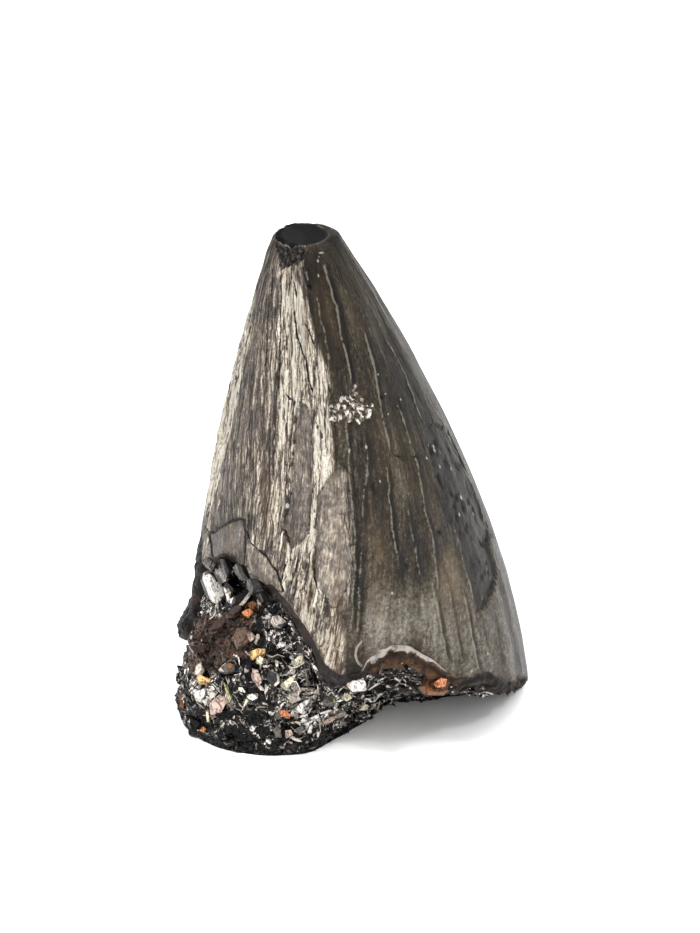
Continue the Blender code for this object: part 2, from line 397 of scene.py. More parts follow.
# Small pits: azimuth, height, reach across and reach up in mm
darkPits = (
    (-20, 24.9, 0.1, 0.18), (-19.2, 24, 0.09, 0.3), (-20.2, 22.6, 0.12, 0.14), (-20.6, 21.9, 0.1, 0.12),
    (-21.4, 21.2, 0.13, 0.14), (-22.2, 20.2, 0.1, 0.22), (-21.6, 19.4, 0.08, 0.12),
    (-24.4, 18.2, 0.12, 0.18), (-24.6, 16.8, 0.12, 0.2), (-10.6, 19.8, 0.07, 0.16),
    (-10.2, 18.6, 0.08, 0.14), (-10.6, 17.6, 0.08, 0.12), (-11.6, 15.4, 0.1, 0.2), (-11.8, 14.8, 0.1, 0.14),
    (-6, 23.7, 0.1, 0.14), (-4, 23.2, 0.08, 0.2), (66, 17.7, 0.24, 0.8), (64.4, 17, 0.18, 0.5),
    (62, 17.5, 0.14, 0.24), (59, 20.6, 0.26, 0.22), (64.2, 20.8, 0.3, 0.3), (67.6, 19.4, 0.22, 0.3),
    (67, 16.3, 0.2, 0.3), (72.6, 14.9, 0.3, 0.5), (75.4, 13.1, 0.34, 0.3), (70, 15.8, 0.16, 0.3),
    (79, 16.6, 0.2, 0.5), (77, 18.4, 0.16, 0.3), (57.4, 18.6, 0.1, 0.5), (62.5, 20.3, 0.16, 0.13),
    (66, 20.2, 0.12, 0.12), (69, 19.6, 0.14, 0.12), (73.5, 14.9, 0.3, 0.3), (71, 13.4, 0.2, 0.2),
    (61, 16.9, 0.2, 0.12), (-78, 24.6, 0.24, 0.16), (-74, 24.8, 0.12, 0.12), (-92, 26.2, 0.5, 0.2),
    (-86, 26.6, 0.24, 0.16), (18, 19.8, 0.12, 0.2), (37, 24.9, 0.14, 0.1), (26, 14.7, 0.1, 0.14),
)

# Small bright flecks, in the same form, and how yellow each is
brightFlecks = (
    (16, 33.3, 0.08, 0.1, 0.5), (12, 32.5, 0.06, 0.12, 0.5), (19, 33.5, 0.06, 0.06, 0.4),
    (61.4, 20.5, 0.1, 0.12, 0), (66, 20.2, 0.1, 0.16, 0), (69, 18.8, 0.08, 0.14, 0),
    (68.4, 16.9, 0.1, 0.2, 0), (74, 15.4, 0.1, 0.16, 0), (77, 13.6, 0.12, 0.14, 0.3),
    (60.6, 19.5, 0.08, 0.1, 0), (-56.4, 20.25, 0.11, 0.09, 1), (-60, 26.5, 0.13, 0.05, 0),
    (22, 20.1, 0.25, 0.05, 0.2), (31.5, 18.9, 0.16, 0.05, 0.3), (37.6, 23.85, 0.11, 0.06, 1),
    (40.5, 26.25, 0.12, 0.05, 0), (40.4, 25, 0.1, 0.04, 0), (50.5, 24.35, 0.1, 0.08, 0),
    (18, 13.2, 0.12, 0.08, 0.3), (15, 16.25, 0.2, 0.08, 0.7), (-44, 28.2, 0.09, 0.12, 0),
    (57.6, 21, 0.12, 0.12, 0.2), (63, 20.7, 0.13, 0.1, 0), (66.4, 20.5, 0.1, 0.07, 0),
    (69, 19.5, 0.1, 0.07, 0), (59.6, 16.8, 0.12, 0.1, 0.2), (62.2, 16.2, 0.08, 0.2, 0),
    (9.4, 22.2, 0.12, 0.1, 0), (19.2, 22.3, 0.1, 0.14, 0.3), (-13, 20.05, 0.2, 0.07, 0),
    (59.4, 10.6, 0.16, 0.1, 0.2), (68, 10.1, 0.1, 0.14, 0.1), (45, 12.5, 0.2, 0.06, 0.6),
    (53, 20.5, 0.12, 0.1, 0.4), (44.5, 6.6, 0.16, 0.1, 0.9), (54, 7.1, 0.16, 0.12, 0.9),
    (23, 31.9, 0.06, 0.08, 0), (-13, 25.15, 0.2, 0.14, 0.15), (-17, 24.75, 0.13, 0.08, 0),
    (-22.8, 19.6, 0.08, 0.1, 0), (-23.4, 18.6, 0.12, 0.2, 0.1), (24, 33.7, 0.22, 0.06, 0.5),
)


# signed distance in mm to the edge of an area between two sides, above 0 inside it
def insideArea(rows, azimuth, height, radius):
    rows = np.array(rows)[::-1]
    left = np.interp(height, rows[:, 0], rows[:, 1])
    right = np.interp(height, rows[:, 0], rows[:, 2])
    side = np.minimum(azimuth - left, right - azimuth) * np.radians(1) * radius
    return np.minimum(side, np.minimum(height - rows[0, 0], rows[-1, 0] - height))


# the greatest signed distance to several areas
def insideAreas(areas, azimuth, height, radius):
    return np.max([insideArea(rows, azimuth, height, radius) for rows in areas], axis=0)


# distance in mm to a broken line of (azimuth, height) points, on the unrolled surface
def lineDistance(line, azimuth, height, radius):
    nearest = np.full(azimuth.shape, 99.0)
    for (fromAzimuth, fromHeight), (toAzimuth, toHeight) in zip(line, line[1:]):
        x = (azimuth - fromAzimuth) * np.radians(1) * radius
        y = height - fromHeight
        alongX = (toAzimuth - fromAzimuth) * np.radians(1) * radius
        alongY = toHeight - fromHeight
        share = np.clip((x * alongX + y * alongY) / (alongX**2 + alongY**2), 0, 1)
        nearest = np.minimum(nearest, np.hypot(x - share * alongX, y - share * alongY))
    return nearest


# a level set here and there: each place pulls the base towards its own level by a
# bell of its reach in azimuth and in height
def blendLevels(places, base, azimuth, height):
    total = np.full(azimuth.shape, 0.35 * base)
    weights = np.full(azimuth.shape, 0.35)
    for middle, middleHeight, reach, reachUp, level in places:
        weight = bell(azimuth, middle, reach) * bell(height, middleHeight, reachUp)
        total = total + weight * level
        weights = weights + weight
    return total / weights


# the tallest of small bells at (azimuth, height) with their reach in mm across and up
def smallBells(places, azimuth, height, radius):
    tallest = np.zeros(azimuth.shape)
    for middle, middleHeight, across, up, *_ in places:
        x = (azimuth - middle) * np.radians(1) * radius / across
        y = (height - middleHeight) / up
        tallest = np.maximum(tallest, np.exp(-(x * x + y * y)))
    return tallest


# how the long marks turn as they rise: azimuth, then degrees for each mm above 20 mm and below
markSlopes = np.array((
    (-180, 0, 0), (-120, 0, 0), (-100, -0.6, -0.3), (-60, -1.4, -0.9), (-46, -1.2, 0), (-35, -0.6, 0.8),
    (-25, -0.1, 1.1), (-10, 0.1, 1.4), (5, 0.8, 1.25), (20, 1, 1.2), (40, 1.2, 0.9), (60, 0.4, 0.4),
    (80, 0, 0.1), (120, 0, 0), (180, 0, 0),
))


# azimuth with that turn taken out, so that a mark keeps one value all the way up. A square
# root rounds the change at 20 mm
def alongMarks(azimuth, height):
    rise = np.minimum(height, 31.5) - 20
    above = (rise + np.sqrt(rise**2 + 9)) / 2 - 1.5
    slopeAbove = np.interp(azimuth, markSlopes[:, 0], markSlopes[:, 1])
    slopeBelow = np.interp(azimuth, markSlopes[:, 0], markSlopes[:, 2])
    return azimuth - slopeAbove * above - slopeBelow * (rise - above)


# fine lines that run up the crown, -1 to 1: stretched noise on circles of fixed radius, so
# that the lines follow the azimuth. Five circles share the height, each where it fits best
def fineLines(azimuth, height, radius, spacing, reach, seed):
    total = 0
    circles = 1.7 * 1.6 ** np.arange(5)
    turn = np.radians(azimuth)
    for step, circle in enumerate(circles):
        share = np.clip(1 - np.abs(np.log(radius / circle)) / math.log(1.6), 0, 1)
        x = circle / spacing * np.sin(turn)
        y = circle / spacing * np.cos(turn)
        total = total + share * noise(x, y, height / reach + step * 5.3, seed + step)
    return total


# How strongly each kind of relief stands out, in mm
relief = {
    "waves": 0.07,
    "lines": 0.060,
    "lathStep": 0.085,
    "lathGroove": 0.075,
    "lathWidth": 0.46,
    "lathLength": 5.5,
    "ridge": 0.055,
    "ridgeWidth": 0.076,
    "flutes": 0.09,
    "flaked": 0.12,
    "blocks": 0.08,
    "slate": 0.14,
    "crack": 0.13,
    "crackWidth": 0.06,
    "chip": 0.30,
    "tipChip": 0.34,
    "pit": 0.10,
    "fleck": 0.04,
    "margin": 0.10,
    "fracture": 0.30,
    "flakedLip": 0.035,
    "flakedRough": 0.07,
    "slateRough": 0.11,
    "openCrack": 0.045,  # half the gap of the cracks that stand open
    "strewn": 0.03,
    "slatePits": 0.10,
    "nibble": 0.05,
    "curl": 1.4,  # the curled lip's height, as a share of a ridge's
    "crust": 0.22,
    "crustFacets": 0.10,
    "tipDish": 0.10,
    "lathCircle": 8,  # the circle on which the laths have their width
}
openCracks = 4  # the first ones of the list

crackLines = (
    ((-82, 13.8), (-76, 14), (-70, 14.3), (-65, 15), (-60, 15.6), (-55, 16.2), (-50, 16.6), (-46.5, 16.7)),
    ((-46.5, 16.7), (-45.8, 15.8), (-45.2, 15), (-45, 14)),
    ((-46.3, 16.3), (-42, 15.5), (-38, 15.2), (-34, 15), (-31, 14.5), (-29, 14.3), (-27, 13.8),
        (-25.5, 13.1)),
    ((-73, 14), (-69, 13.4), (-67.5, 12.9)), ((-25.6, 17), (-23.4, 16.6), (-22.4, 16.1), (-21, 16)),
    ((-23, 15.2), (-25, 14.6), (-26, 13.6)),
    ((-12, 15), (-11.8, 14.2), (-10.4, 13.5), (-8.2, 13.1), (-6.4, 13)),
    ((-25, 32.3), (-20, 32.1), (-18, 31.7), (-17, 31.2)),
    ((-20, 30.4), (-18, 29.6), (-17, 28.9), (-15, 28.6), (-13, 28), (-10.4, 27.6), (-9.4, 26.4),
        (-7.4, 25.8)),
    ((-10, 29.8), (-7.6, 29.5), (-5.8, 29.2), (-3.4, 28.6)),
    ((-44, 33.1), (-41, 32.4), (-39, 31.6), (-36.6, 30.8), (-35, 30), (-33, 29), (-32.6, 27.8),
        (-31.6, 25.6)),
    ((-57, 32.6), (-54, 31.8), (-51, 30.8), (-49.6, 29.4), (-46, 28), (-44.6, 26.6)),
    ((-7, 33), (-6, 32.2), (-4, 31.9), (0, 31.9)), ((-25, 25.3), (-22, 25.1), (-19, 25)),
    ((52.5, 10.3), (55, 9.95), (58, 10), (60, 10.4)), ((69, 14), (71, 13.4), (74, 13)),
    ((78, 13.1), (83, 13), (88, 12.7)), ((33, 21.4), (40, 21.1), (52, 20.6)), ((39.8, 16.4), (46, 16)),
)

# The ridges round the back follow a rule: how many there are, the first one's azimuth, how far
# apart they are, how far out of step, and how strong and how uneven in strength
hiddenRidges = {"count": 26, "first": 68, "apart": 8.4, "sway": 2.2, "strength": 0.5, "uneven": 0.3}

# the pale line that curls up from the arched edge
lipLine = ((4, 10.3), (2, 9.9), (1.5, 9.5), (1.7, 9.1), (2.6, 8.8), (3.4, 8.7))


# how pale each place is: levels listed place by place, strips whose sides follow the laths, and one
# level for each flaked patch and cut block. Returns the tone and the strips alone
def paleness(azimuth, height, radius, leftFace, lath, coarse, flaked, blocks):
    tone = leftFace * blendLevels(leftLevels, 0.32, azimuth, height)
    tone = tone + (1 - leftFace) * blendLevels(rightLevels, 0.30, azimuth, height)
    shifted = azimuth + (1.6 * (lath - 0.5) + 1.0 * coarse) * 4 / np.maximum(radius, 3)
    strip = np.zeros_like(azimuth)
    for rows, level in paleAndSheenStrips:
        share = ease(insideArea(rows, shifted, height + 1.2 * (lath - 0.5), radius), -0.12, 0.20)
        tone = tone + share * np.maximum(level - tone, 0)
        strip = np.maximum(strip, share * level)
    patchTone = np.where(azimuth < patchSplit, 0.32, 0.42)
    tone = tone + ease(flaked, -0.02, 0.03) * (patchTone - tone)
    tone = tone + ease(blocks, -0.02, 0.03) * (np.where(azimuth < blockSplit, 0.24, 0.38) - tone)
    return tone, strip


# the raised ridges: a bell across each, at its azimuth for that height, and a band of painted
# shadow beside it. Round the back they follow the rule
def ridgeMarks(azimuth, height, radius, spot, waver, waved):
    ridge = np.zeros_like(azimuth)
    paintedRidgeShadow = np.zeros_like(azimuth)
    jog = 0.05 * noise(*over(spot, 0.22, 0.35), 29) + 0.05 * noise(*over(spot, 0.5, 0.8), 30)
    for points, strength in ridgeLines:
        points = np.array(points)[::-1]
        middle = np.interp(height, points[:, 0], points[:, 1])
        away = (azimuth - middle + waver * 0.2) * np.radians(1) * radius + jog
        ends = ease(height, points[0, 0] - 0.2, points[0, 0] + 0.5)
        ends = ends * (1 - ease(height, points[-1, 0] - 0.5, points[-1, 0] + 0.2))
        uneven = 0.86 + 0.34 * noise(*over(spot, 0.5, 0.9), 28)
        uneven = uneven + 0.20 * noise(*over(spot, 0.2, 0.2), 32)
        ridge = np.maximum(ridge, strength * ends * uneven * bell(away, 0, relief["ridgeWidth"]))
        paintedRidgeShadow = np.maximum(paintedRidgeShadow, ends * bell(away, 0.22, 0.13))
    rule = hiddenRidges
    for k in range(rule["count"]):
        start = rule["first"] + rule["apart"] * k + rule["sway"] * math.sin(k * 2.4)
        away = ((waved - start + 180) % 360 - 180) * np.radians(1) * radius
        strength = rule["strength"] + rule["uneven"] * math.sin(k * 1.7)
        strength = strength * ease(noise(k * 3.7, 0, height / 3.5, 26), -0.15, 0.35)
        strength = strength * ease(height, 4, 7) * (1 - ease(height, 29, 32))
        strength = np.where((azimuth > 86) | (azimuth < -104), strength, 0)
        ridge = np.maximum(ridge, strength * bell(away, 0, relief["ridgeWidth"]))
    return ridge, paintedRidgeShadow


# everything on the crown's outside: how far it stands out in mm, and what each place is made of
def crownRelief(azimuth, height, radius, edge, edgeSlope):
    x = radius * np.sin(np.radians(azimuth))
    y = radius * np.cos(np.radians(azimuth))
    spot = (x, y, height)
    marks = alongMarks(azimuth, height)
    waver = 1.5 * noise(*over(spot, 1.4, 1.9), 21) + 0.6 * noise(*over(spot, 0.5, 0.7), 22)
    waved = marks + waver * 4 / np.maximum(radius, 3)

    front = np.interp(height, frontEdge[:, 0], frontEdge[:, 1])
    front = front + 1.5 * noise(*over(spot, 0.4, 0.9), 27)
    leftFace = 1 - ease(azimuth, front - 0.8, front + 0.8)
    behind = ease(np.abs(azimuth), 120, 178)
    leftFace = leftFace + (0.35 - leftFace) * behind
    fine = fineLines(waved, height, radius, 0.15, 1.5, 31)
    coarse = fineLines(waved + waver / radius * 3, height, radius, 0.40, 2.4, 41)

    # laths: long facets on one circle, so that they narrow towards the tip
    turn = np.radians(waved)
    lathX = relief["lathCircle"] / relief["lathWidth"] * np.sin(turn)
    lathY = relief["lathCircle"] / relief["lathWidth"] * np.cos(turn)
    lath, lathGap, lathTilt = facets(lathX, lathY, height / relief["lathLength"], 51)

    ragged = 0.10 * noise(*over(spot, 0.35, 0.35), 24)
    ragged = ragged + 0.05 * noise(*over(spot, 0.14, 0.14), 25)
    flaked = insideAreas(flakedPatches, azimuth, height, radius) + ragged
    blocks = insideAreas(cutBlocks, azimuth, height, radius) + 0.4 * ragged
    slate = insideAreas(slatePatches, azimuth, height, radius) + ragged
    smooth = np.maximum(ease(flaked, -0.02, 0.10), ease(blocks, -0.03, 0.05))

    tone, strip = paleness(azimuth, height, radius, leftFace, lath, coarse, flaked, blocks)
    strip = strip * (1 - smooth)

    waves = layeredNoise(*over(spot, 4, 6), 61) + 0.35 * noise(*over(spot, 1.3, 1.8), 62)
    lift = relief["waves"] * waves
    rough = (0.30 + 0.70 * leftFace) * (1 - 0.85 * smooth) * (1 - 0.8 * ease(slate, -0.1, 0.1))
    lift = lift + relief["lines"] * rough * (fine + 1.2 * coarse) * (1 + 0.7 * strip)
    lift = lift + relief["lathStep"] * rough * (0.35 + strip) * ((lath - 0.5) + 0.6 * lathTilt)
    groove = ease(lathGap, 0.16, 0.02) * (1 - smooth)
    lift = lift - relief["lathGroove"] * rough * (0.4 + 0.8 * strip) * groove
    flutes = fineLines(marks, height, radius, 0.9, 9, 71)
    lift = lift + relief["flutes"] * (1 - leftFace) * flutes

    ridge, paintedRidgeShadow = ridgeMarks(azimuth, height, radius, spot, waver, waved)
    ridge = ridge * (1 - ease(flaked, -0.05, 0.05))
    lip = bell(lineDistance(lipLine, azimuth, height, radius), 0, 0.10)
    lift = lift + relief["ridge"] * np.maximum(ridge, relief["curl"] * lip)

    # flaked places lie lower, with a small lip round them
    lift = lift - relief["flaked"] * ease(flaked, -0.04, 0.06)
    lift = lift + relief["flakedLip"] * bell(flaked, -0.10, 0.07)
    lift = lift - relief["slate"] * ease(slate, -0.05, 0.12)
    lift = lift - relief["blocks"] * ease(blocks, -0.02, 0.06)
    lift = lift + ease(slate, 0, 0.2) * relief["slateRough"] * layeredNoise(*over(spot, 0.5, 0.9), 63)
    lift = lift + ease(flaked, 0, 0.1) * relief["flakedRough"] * layeredNoise(*over(spot, 0.28, 0.5), 64)

    # cracks: V-shaped grooves with a wandering width
    crack = np.full(azimuth.shape, 9.0)
    for number, line in enumerate(crackLines):
        opened = relief["openCrack"] if number < openCracks else 0
        crack = np.minimum(crack, lineDistance(line, azimuth, height, radius) - opened)
    crack = crack + 0.035 * noise(*over(spot, 0.25, 0.25), 65)
    lift = lift - relief["crack"] * bell(np.maximum(crack, 0), 0, relief["crackWidth"])

    # the struck chip and the splinters under the tip are cut into facets
    spiky = 0.30 * noise(*over(spot, 0.28, 0.5), 33)
    chip = insideArea(struckChip, azimuth, height, radius) + ragged + spiky
    tipChip = insideArea(tipSplinters, azimuth, height, radius) + ragged
    lean = (height - 25) * 0.5
    facet, _, facetTilt = facets((x + lean) / 0.17, y / 0.17, height / 0.14, 66)
    lift = lift - relief["chip"] * ease(chip, -0.05, 0.12) * (0.35 + 0.5 * facet + 0.9 * facetTilt)
    tipFacet, _, tipTilt = facets(*over(spot, 0.15, 0.42), 67)
    lift = lift - relief["tipChip"] * ease(tipChip, -0.05, 0.15) * (0.4 + 0.5 * tipFacet + 0.8 * tipTilt)

    # pits and raised flecks
    pit = smallBells(darkPits, azimuth, height, radius)
    fleck = smallBells(brightFlecks, azimuth, height, radius)
    gold = smallBells([p for p in brightFlecks if p[4] > 0.5], azimuth, height, radius)
    lift = lift - relief["pit"] * pit + relief["fleck"] * fleck
    value, gap, _ = facets(*over(spot, 0.55, 0.55), 69)
    pitted = ease(slate, 0, 0.3)
    strewn = ease(value, 0.90 - 0.22 * pitted, 0.97 - 0.22 * pitted) * ease(gap, 0.15, 0.6)
    lift = lift - (relief["strewn"] + relief["slatePits"] * pitted) * strewn * (1 - 0.5 * leftFace)

    # the margin of the enamel is rounded and nibbled
    above = (height - edge) / np.sqrt(1 + edgeSlope**2)
    nibbled = above + relief["nibble"] * noise(*over(spot, 0.3, 0.3), 68)
    lift = lift - relief["margin"] * (1 - ease(nibbled, 0, 0.22)) * ease(edge, 0.05, 0.5)

    # how strongly the fine lines show in the colour, and the larger ones' own share of it
    streak = 1 - (1 - leftFace) * (0.62 + 0.22 * bell(height, 8, 6))
    streak = (streak + 0.55 * strip) * (1 - 0.6 * smooth) * (1 - 0.7 * ease(slate, -0.05, 0.1))
    crest = np.clip(0.6 * fine + 0.7 * coarse, -1, 1)
    detail = 0.09 * crest + (0.08 + 0.30 * strip) * (lath - 0.5) - (0.08 + 0.34 * strip) * groove
    # the band beside each ridge darkens the colour as painted shadow
    detail = detail + (1 - leftFace) * (0.24 * flutes - 0.34 * paintedRidgeShadow)
    detail = detail * (1 - 0.8 * smooth) * (1 - 0.6 * ease(slate, -0.05, 0.1))
    warm = blendLevels(warmLevels, 0, azimuth, height)
    made = {
        "tone": tone, "detail": detail, "streak": streak, "warm": warm, "flaked": flaked,
        "blocks": blocks, "slate": slate, "ridge": ridge, "lip": lip, "crack": crack,
        "chip": chip, "tipChip": tipChip, "fleck": fleck, "gold": gold, "above": above,
        "facet": np.where(height > 30, tipFacet, facet),
        "pit": np.maximum(pit, 0.5 * strewn),
        "leftFace": leftFace,
    }
    return lift, made


# How thick the bright rim of the arched fracture is, pale enamel in section and painted highlight on its
# margin: azimuth, share of the fracture's depth
rimAndHighlightWidth = np.array((
    (1, 0), (5, 0.06), (9, 0.24), (15, 0.26), (20, 0.18), (25, 0.08), (31, 0.05), (39, 0.02),
))


# the crown: rings go from the hollow's top down its inside, across the fracture, up the
# outside and over the worn tip. Relief is added along the normals
def makeCrown():
    azimuth = packedAzimuths(crown["columns"], crown["frontStep"], crown["backStep"], crown["frontLeft"],
                             crown["frontRight"])
    outer, inner = fractureHeights(azimuth)
    arc = np.gradient(np.unwrap(np.radians(azimuth))) * crownRadius(outer)
    slope = np.gradient(outer) / arc

    fall = np.linspace(1, 0, crown["innerRows"], endpoint=False)[:, None]
    innerHeights = inner + (crown["cavityTop"] - inner) * np.sin(math.pi / 2 * fall * crown["innerReach"])
    innerPoints = place(azimuth, innerHeights, cavityRadius(innerHeights))

    across = np.linspace(0, 1, crown["breakRows"])[:, None]
    innerEdge = place(azimuth, inner, cavityRadius(inner))
    outerEdge = place(azimuth, outer, outerRadius(azimuth, outer))
    breakPoints = innerEdge + (outerEdge - innerEdge) * across[..., None]

    # rows stand closer near the margin, the struck chip and the tip
    share = np.linspace(0, 1, 2001)
    packing = 1 + 0.7 * bell(share, 0, 0.08) + 1.6 * bell(share, crown["chipShare"], 0.05)
    packing = packing + 1.4 * ease(share, 0.93, 0.97)
    packed = np.cumsum(packing) / packing.sum()
    up = np.interp(np.arange(1, crown["outerRows"] + 1) / crown["outerRows"], packed, share)[:, None]
    outerHeights = outer + (crown["height"] - outer) * up
    outerPoints = place(azimuth, outerHeights, outerRadius(azimuth, outerHeights))

    inwards = np.linspace(1, 0, crown["capRows"] + 1)[1:-1, None]
    capRadius = inwards * outerRadius(azimuth, np.full_like(azimuth, crown["height"]))
    capHeights = np.full(capRadius.shape, crown["height"])
    capPoints = place(azimuth, capHeights, capRadius)

    stretches = [innerPoints, breakPoints, outerPoints, capPoints]
    grid = np.concatenate(stretches)
    rows, columns = grid.shape[:2]
    az = np.broadcast_to(azimuth, (rows, columns)).copy()
    heights = grid[..., 2]
    radius = crownRadius(heights)
    edge = np.broadcast_to(outer, (rows, columns))
    edgeSlope = np.broadcast_to(slope, (rows, columns))
    lift, marks = crownRelief(az, heights, radius, edge, edgeSlope)

    # 0 inside, 1 on the fracture, 2 outside, 3 on the worn tip
    kind = np.repeat(np.arange(4), [len(p) for p in stretches])[:, None]
    lift = np.where(kind == 2, lift, 0)

    # the fracture is rough and stepped, and the worn tip is slightly dished
    spot = x, y, z = grid[..., 0], grid[..., 1], grid[..., 2]
    rough = layeredNoise(*over(spot, 0.8, 0.8), 71) + 0.5 * facets(*over(spot, 0.5, 0.5), 72)[2]
    drop = np.maximum(outer - inner, 1e-6)
    depth = np.where(kind == 1, 1 - (heights - inner) / drop, np.where(kind == 0, 1.5, -1))
    onBreak = (kind == 1) & (drop > 0.02)
    broken = relief["fracture"] * rough * ease(depth, 0.02, 0.3) * ease(outer - inner, 0, 0.5)
    lift = np.where(onBreak, broken, lift)
    tipX = x - place(0, crown["height"], 0)[0]
    tipY = y - crown["footY"]
    dish = -relief["tipDish"] * ease(1 - np.hypot(tipX, tipY) / 2, 0.05, 0.5)
    lift = np.where(kind == 3, dish + 0.03 * layeredNoise(x, y, z, 73), lift)

    ragged = 1.1 * layeredNoise(*over(spot, 1.1, 1.1), 74)
    marks["streak"] = marks["streak"] * (kind == 2)
    marks["stone"] = insideArea(knobSide, az, heights, radius) + ragged
    knob = ease(marks["stone"], 0, 0.3)
    crust = relief["crust"] * layeredNoise(*over(spot, 0.9, 0.9), 75)
    crust = crust + relief["crustFacets"] * facets(*over(spot, 0.45, 0.45), 76)[2]
    lift = lift + knob * crust * (kind == 2)
    points = grid + gridNormals(grid) * lift[..., None]
    points[..., 2] = np.maximum(points[..., 2], 0)
    points[..., 2] = np.minimum(points[..., 2], crown["height"])
    tipPole = place(0, crown["height"], 0) - (0, 0, relief["tipDish"])
    poles = np.array([place(0, crown["cavityTop"], 0), tipPole])

    turn = np.radians(alongMarks(az, heights))
    circle = relief["lathCircle"]
    grain = np.stack([circle * np.sin(turn), circle * np.cos(turn), heights], -1)
    marks["arch"] = ease(az, 3, 8) * (1 - ease(az, 37, 42)) * np.ones_like(az)
    marks["rim"] = np.interp(az, rimAndHighlightWidth[:, 0], rimAndHighlightWidth[:, 1])
    attributes = {key: np.append(value, (value[0, 0], value[-1, 0])) for key, value in marks.items()}
    attributes["depth"] = np.append(depth, (1.5, -1))
    wear = ease(1 - np.hypot(tipX + crown["wearShift"], tipY) / crown["wearRadius"], 0.02, 0.10)
    wear = wear * ease(z, 33.0, 33.6)
    attributes["tip"] = np.append(wear, (0, 1))
    attributes["grain"] = np.concatenate([grain.reshape(-1, 3), [[0, 0, 0], [0, 0, crown["height"]]]])
    faces = wrappedFaces(rows, columns)
    made = meshObject("crown_enamel", np.concatenate([points.reshape(-1, 3), poles]), faces, attributes)
    matt = (attributes["depth"] > -0.5) | (attributes["tip"] > 0) | (attributes["stone"] > 0)
    first = np.zeros(len(made.data.polygons), np.int32)
    made.data.polygons.foreach_get("loop_start", first)
    corner = np.zeros(len(made.data.loops), np.int32)
    made.data.loops.foreach_get("vertex_index", corner)
    made.data.polygons.foreach_set("material_index", matt[corner[first]].astype(np.int32))
    bare = slice(crown["innerRows"], crown["innerRows"] + crown["breakRows"])
    return made, points[bare], gridNormals(grid)[bare]


# A value in a material's nodes. Sums, differences and products of it add the nodes for them
class Signal:
    def __init__(self, finish, socket):
        self.finish = finish
        self.socket = socket

    def __add__(self, other):
        return self.finish.math("ADD", self, other)

    def __radd__(self, other):
        return self.finish.math("ADD", other, self)

    def __sub__(self, other):
        return self.finish.math("SUBTRACT", self, other)

    def __rsub__(self, other):
        return self.finish.math("SUBTRACT", other, self)

    def __mul__(self, other):
        return self.finish.math("MULTIPLY", self, other)

    def __rmul__(self, other):
        return self.finish.math("MULTIPLY", other, self)


# A material, with small helpers that add its nodes and give back a Signal each
class Finish:
    def __init__(self, name):
        self.material = bpy.data.materials.new(name)
        self.material.use_nodes = True
        self.tree = self.material.node_tree
        self.shader = self.tree.nodes["Principled BSDF"]
        self.base = None

    def feed(self, socket, value):
        if isinstance(value, Signal):
            self.tree.links.new(value.socket, socket)
        else:
            socket.default_value = value

    def node(self, kind, inputs, output=0, **settings):
        made = self.tree.nodes.new(kind)
        for key, value in settings.items():
            setattr(made, key, value)
        for socket, value in inputs.items():
            self.feed(made.inputs[socket], value)
        return Signal(self, made.outputs[output])

    def attribute(self, name, output="Fac"):
        return self.node("ShaderNodeAttribute", {}, output, attribute_name=name)

    # the place on the object, in mm
    def spot(self):
        return self.scaled(self.node("ShaderNodeTexCoord", {}, "Object"), (1 / mm, 1 / mm, 1 / mm))

    def math(self, operation, *values):
        return self.node("ShaderNodeMath", dict(enumerate(values)), operation=operation)

    # eased from start to end as the value goes from low to high
    def step(self, value, low, high, start=0.0, end=1.0):
        inputs = dict(enumerate((value, low, high, start, end)))
        return self.node("ShaderNodeMapRange", inputs, interpolation_type="SMOOTHSTEP")

    def scaled(self, vector, scale):
        return self.node("ShaderNodeMapping", {"Vector": vector, "Scale": scale})

    def noise(self, vector, scale, detail, roughness=0.55, distortion=0.0, output="Fac"):
        if isinstance(scale, tuple):
            vector, scale = self.scaled(vector, scale), 1.0
        inputs = {"Vector": vector, "Scale": scale, "Detail": detail, "Roughness": roughness,
                  "Distortion": distortion}
        return self.node("ShaderNodeTexNoise", inputs, output)

    def cells(self, vector, scale, feature="F1", output="Distance"):
        return self.node("ShaderNodeTexVoronoi", {"Vector": vector, "Scale": scale}, output,
                         feature=feature)

    # places moved by an amount times a coloured noise, so that what is drawn on them bends
    def bent(self, vector, scale, detail, amount):
        by = self.noise(self.spot(), scale, detail, 0.5, output="Color")
        moved = self.node("ShaderNodeVectorMath", {0: by, 1: (0.5, 0.5, 0.5)}, operation="SUBTRACT")
        moved = self.node("ShaderNodeVectorMath", {0: moved, 3: amount}, operation="SCALE")
        return self.node("ShaderNodeVectorMath", {0: vector, 1: moved})

    def mix(self, share, first, second):
        return self.node("ShaderNodeMix", {0: share, 6: first, 7: second}, 2, data_type="RGBA")

    def ramp(self, value, stops, interpolation="LINEAR"):
        made = self.tree.nodes.new("ShaderNodeValToRGB")
        self.feed(made.inputs[0], value)
        made.color_ramp.interpolation = interpolation
        held = made.color_ramp.elements
        for number, (start, colour) in enumerate(stops):
            stop = held[number] if number < 2 else held.new(start)
            stop.position = start
            stop.color = colour
        return Signal(self, made.outputs[0])

    # lays a colour over the base colour, by a share
    def paint(self, share, colour):
        self.base = self.mix(share, self.base, colour)

    # the finished material: its base colour, roughness, specular level and bump
    def finished(self, roughness, specular, height, distance, strength):
        bump = {"Height": height, "Distance": distance, "Strength": strength}
        self.feed(self.shader.inputs["Base Color"], self.base)
        self.feed(self.shader.inputs["Roughness"], roughness)
        self.feed(self.shader.inputs["Normal"], self.node("ShaderNodeBump", bump))
        self.shader.inputs["Specular IOR Level"].default_value = specular
        return self.material


# a display colour 0-255 as the linear values that a shader takes, times a gain
def tint(red, green, blue, gain=1.0):
    shares = [c / 255 for c in (red, green, blue)]
    linear = [c / 12.92 if c <= 0.04045 else ((c + 0.055) / 1.055) ** 2.4 for c in shares]
    return tuple(c * gain for c in linear) + (1.0,)


# a list of (position, display colour) with its colours made linear
def tones(stops, gain):
    return [(start, tint(*colour, gain)) for start, colour in stops]


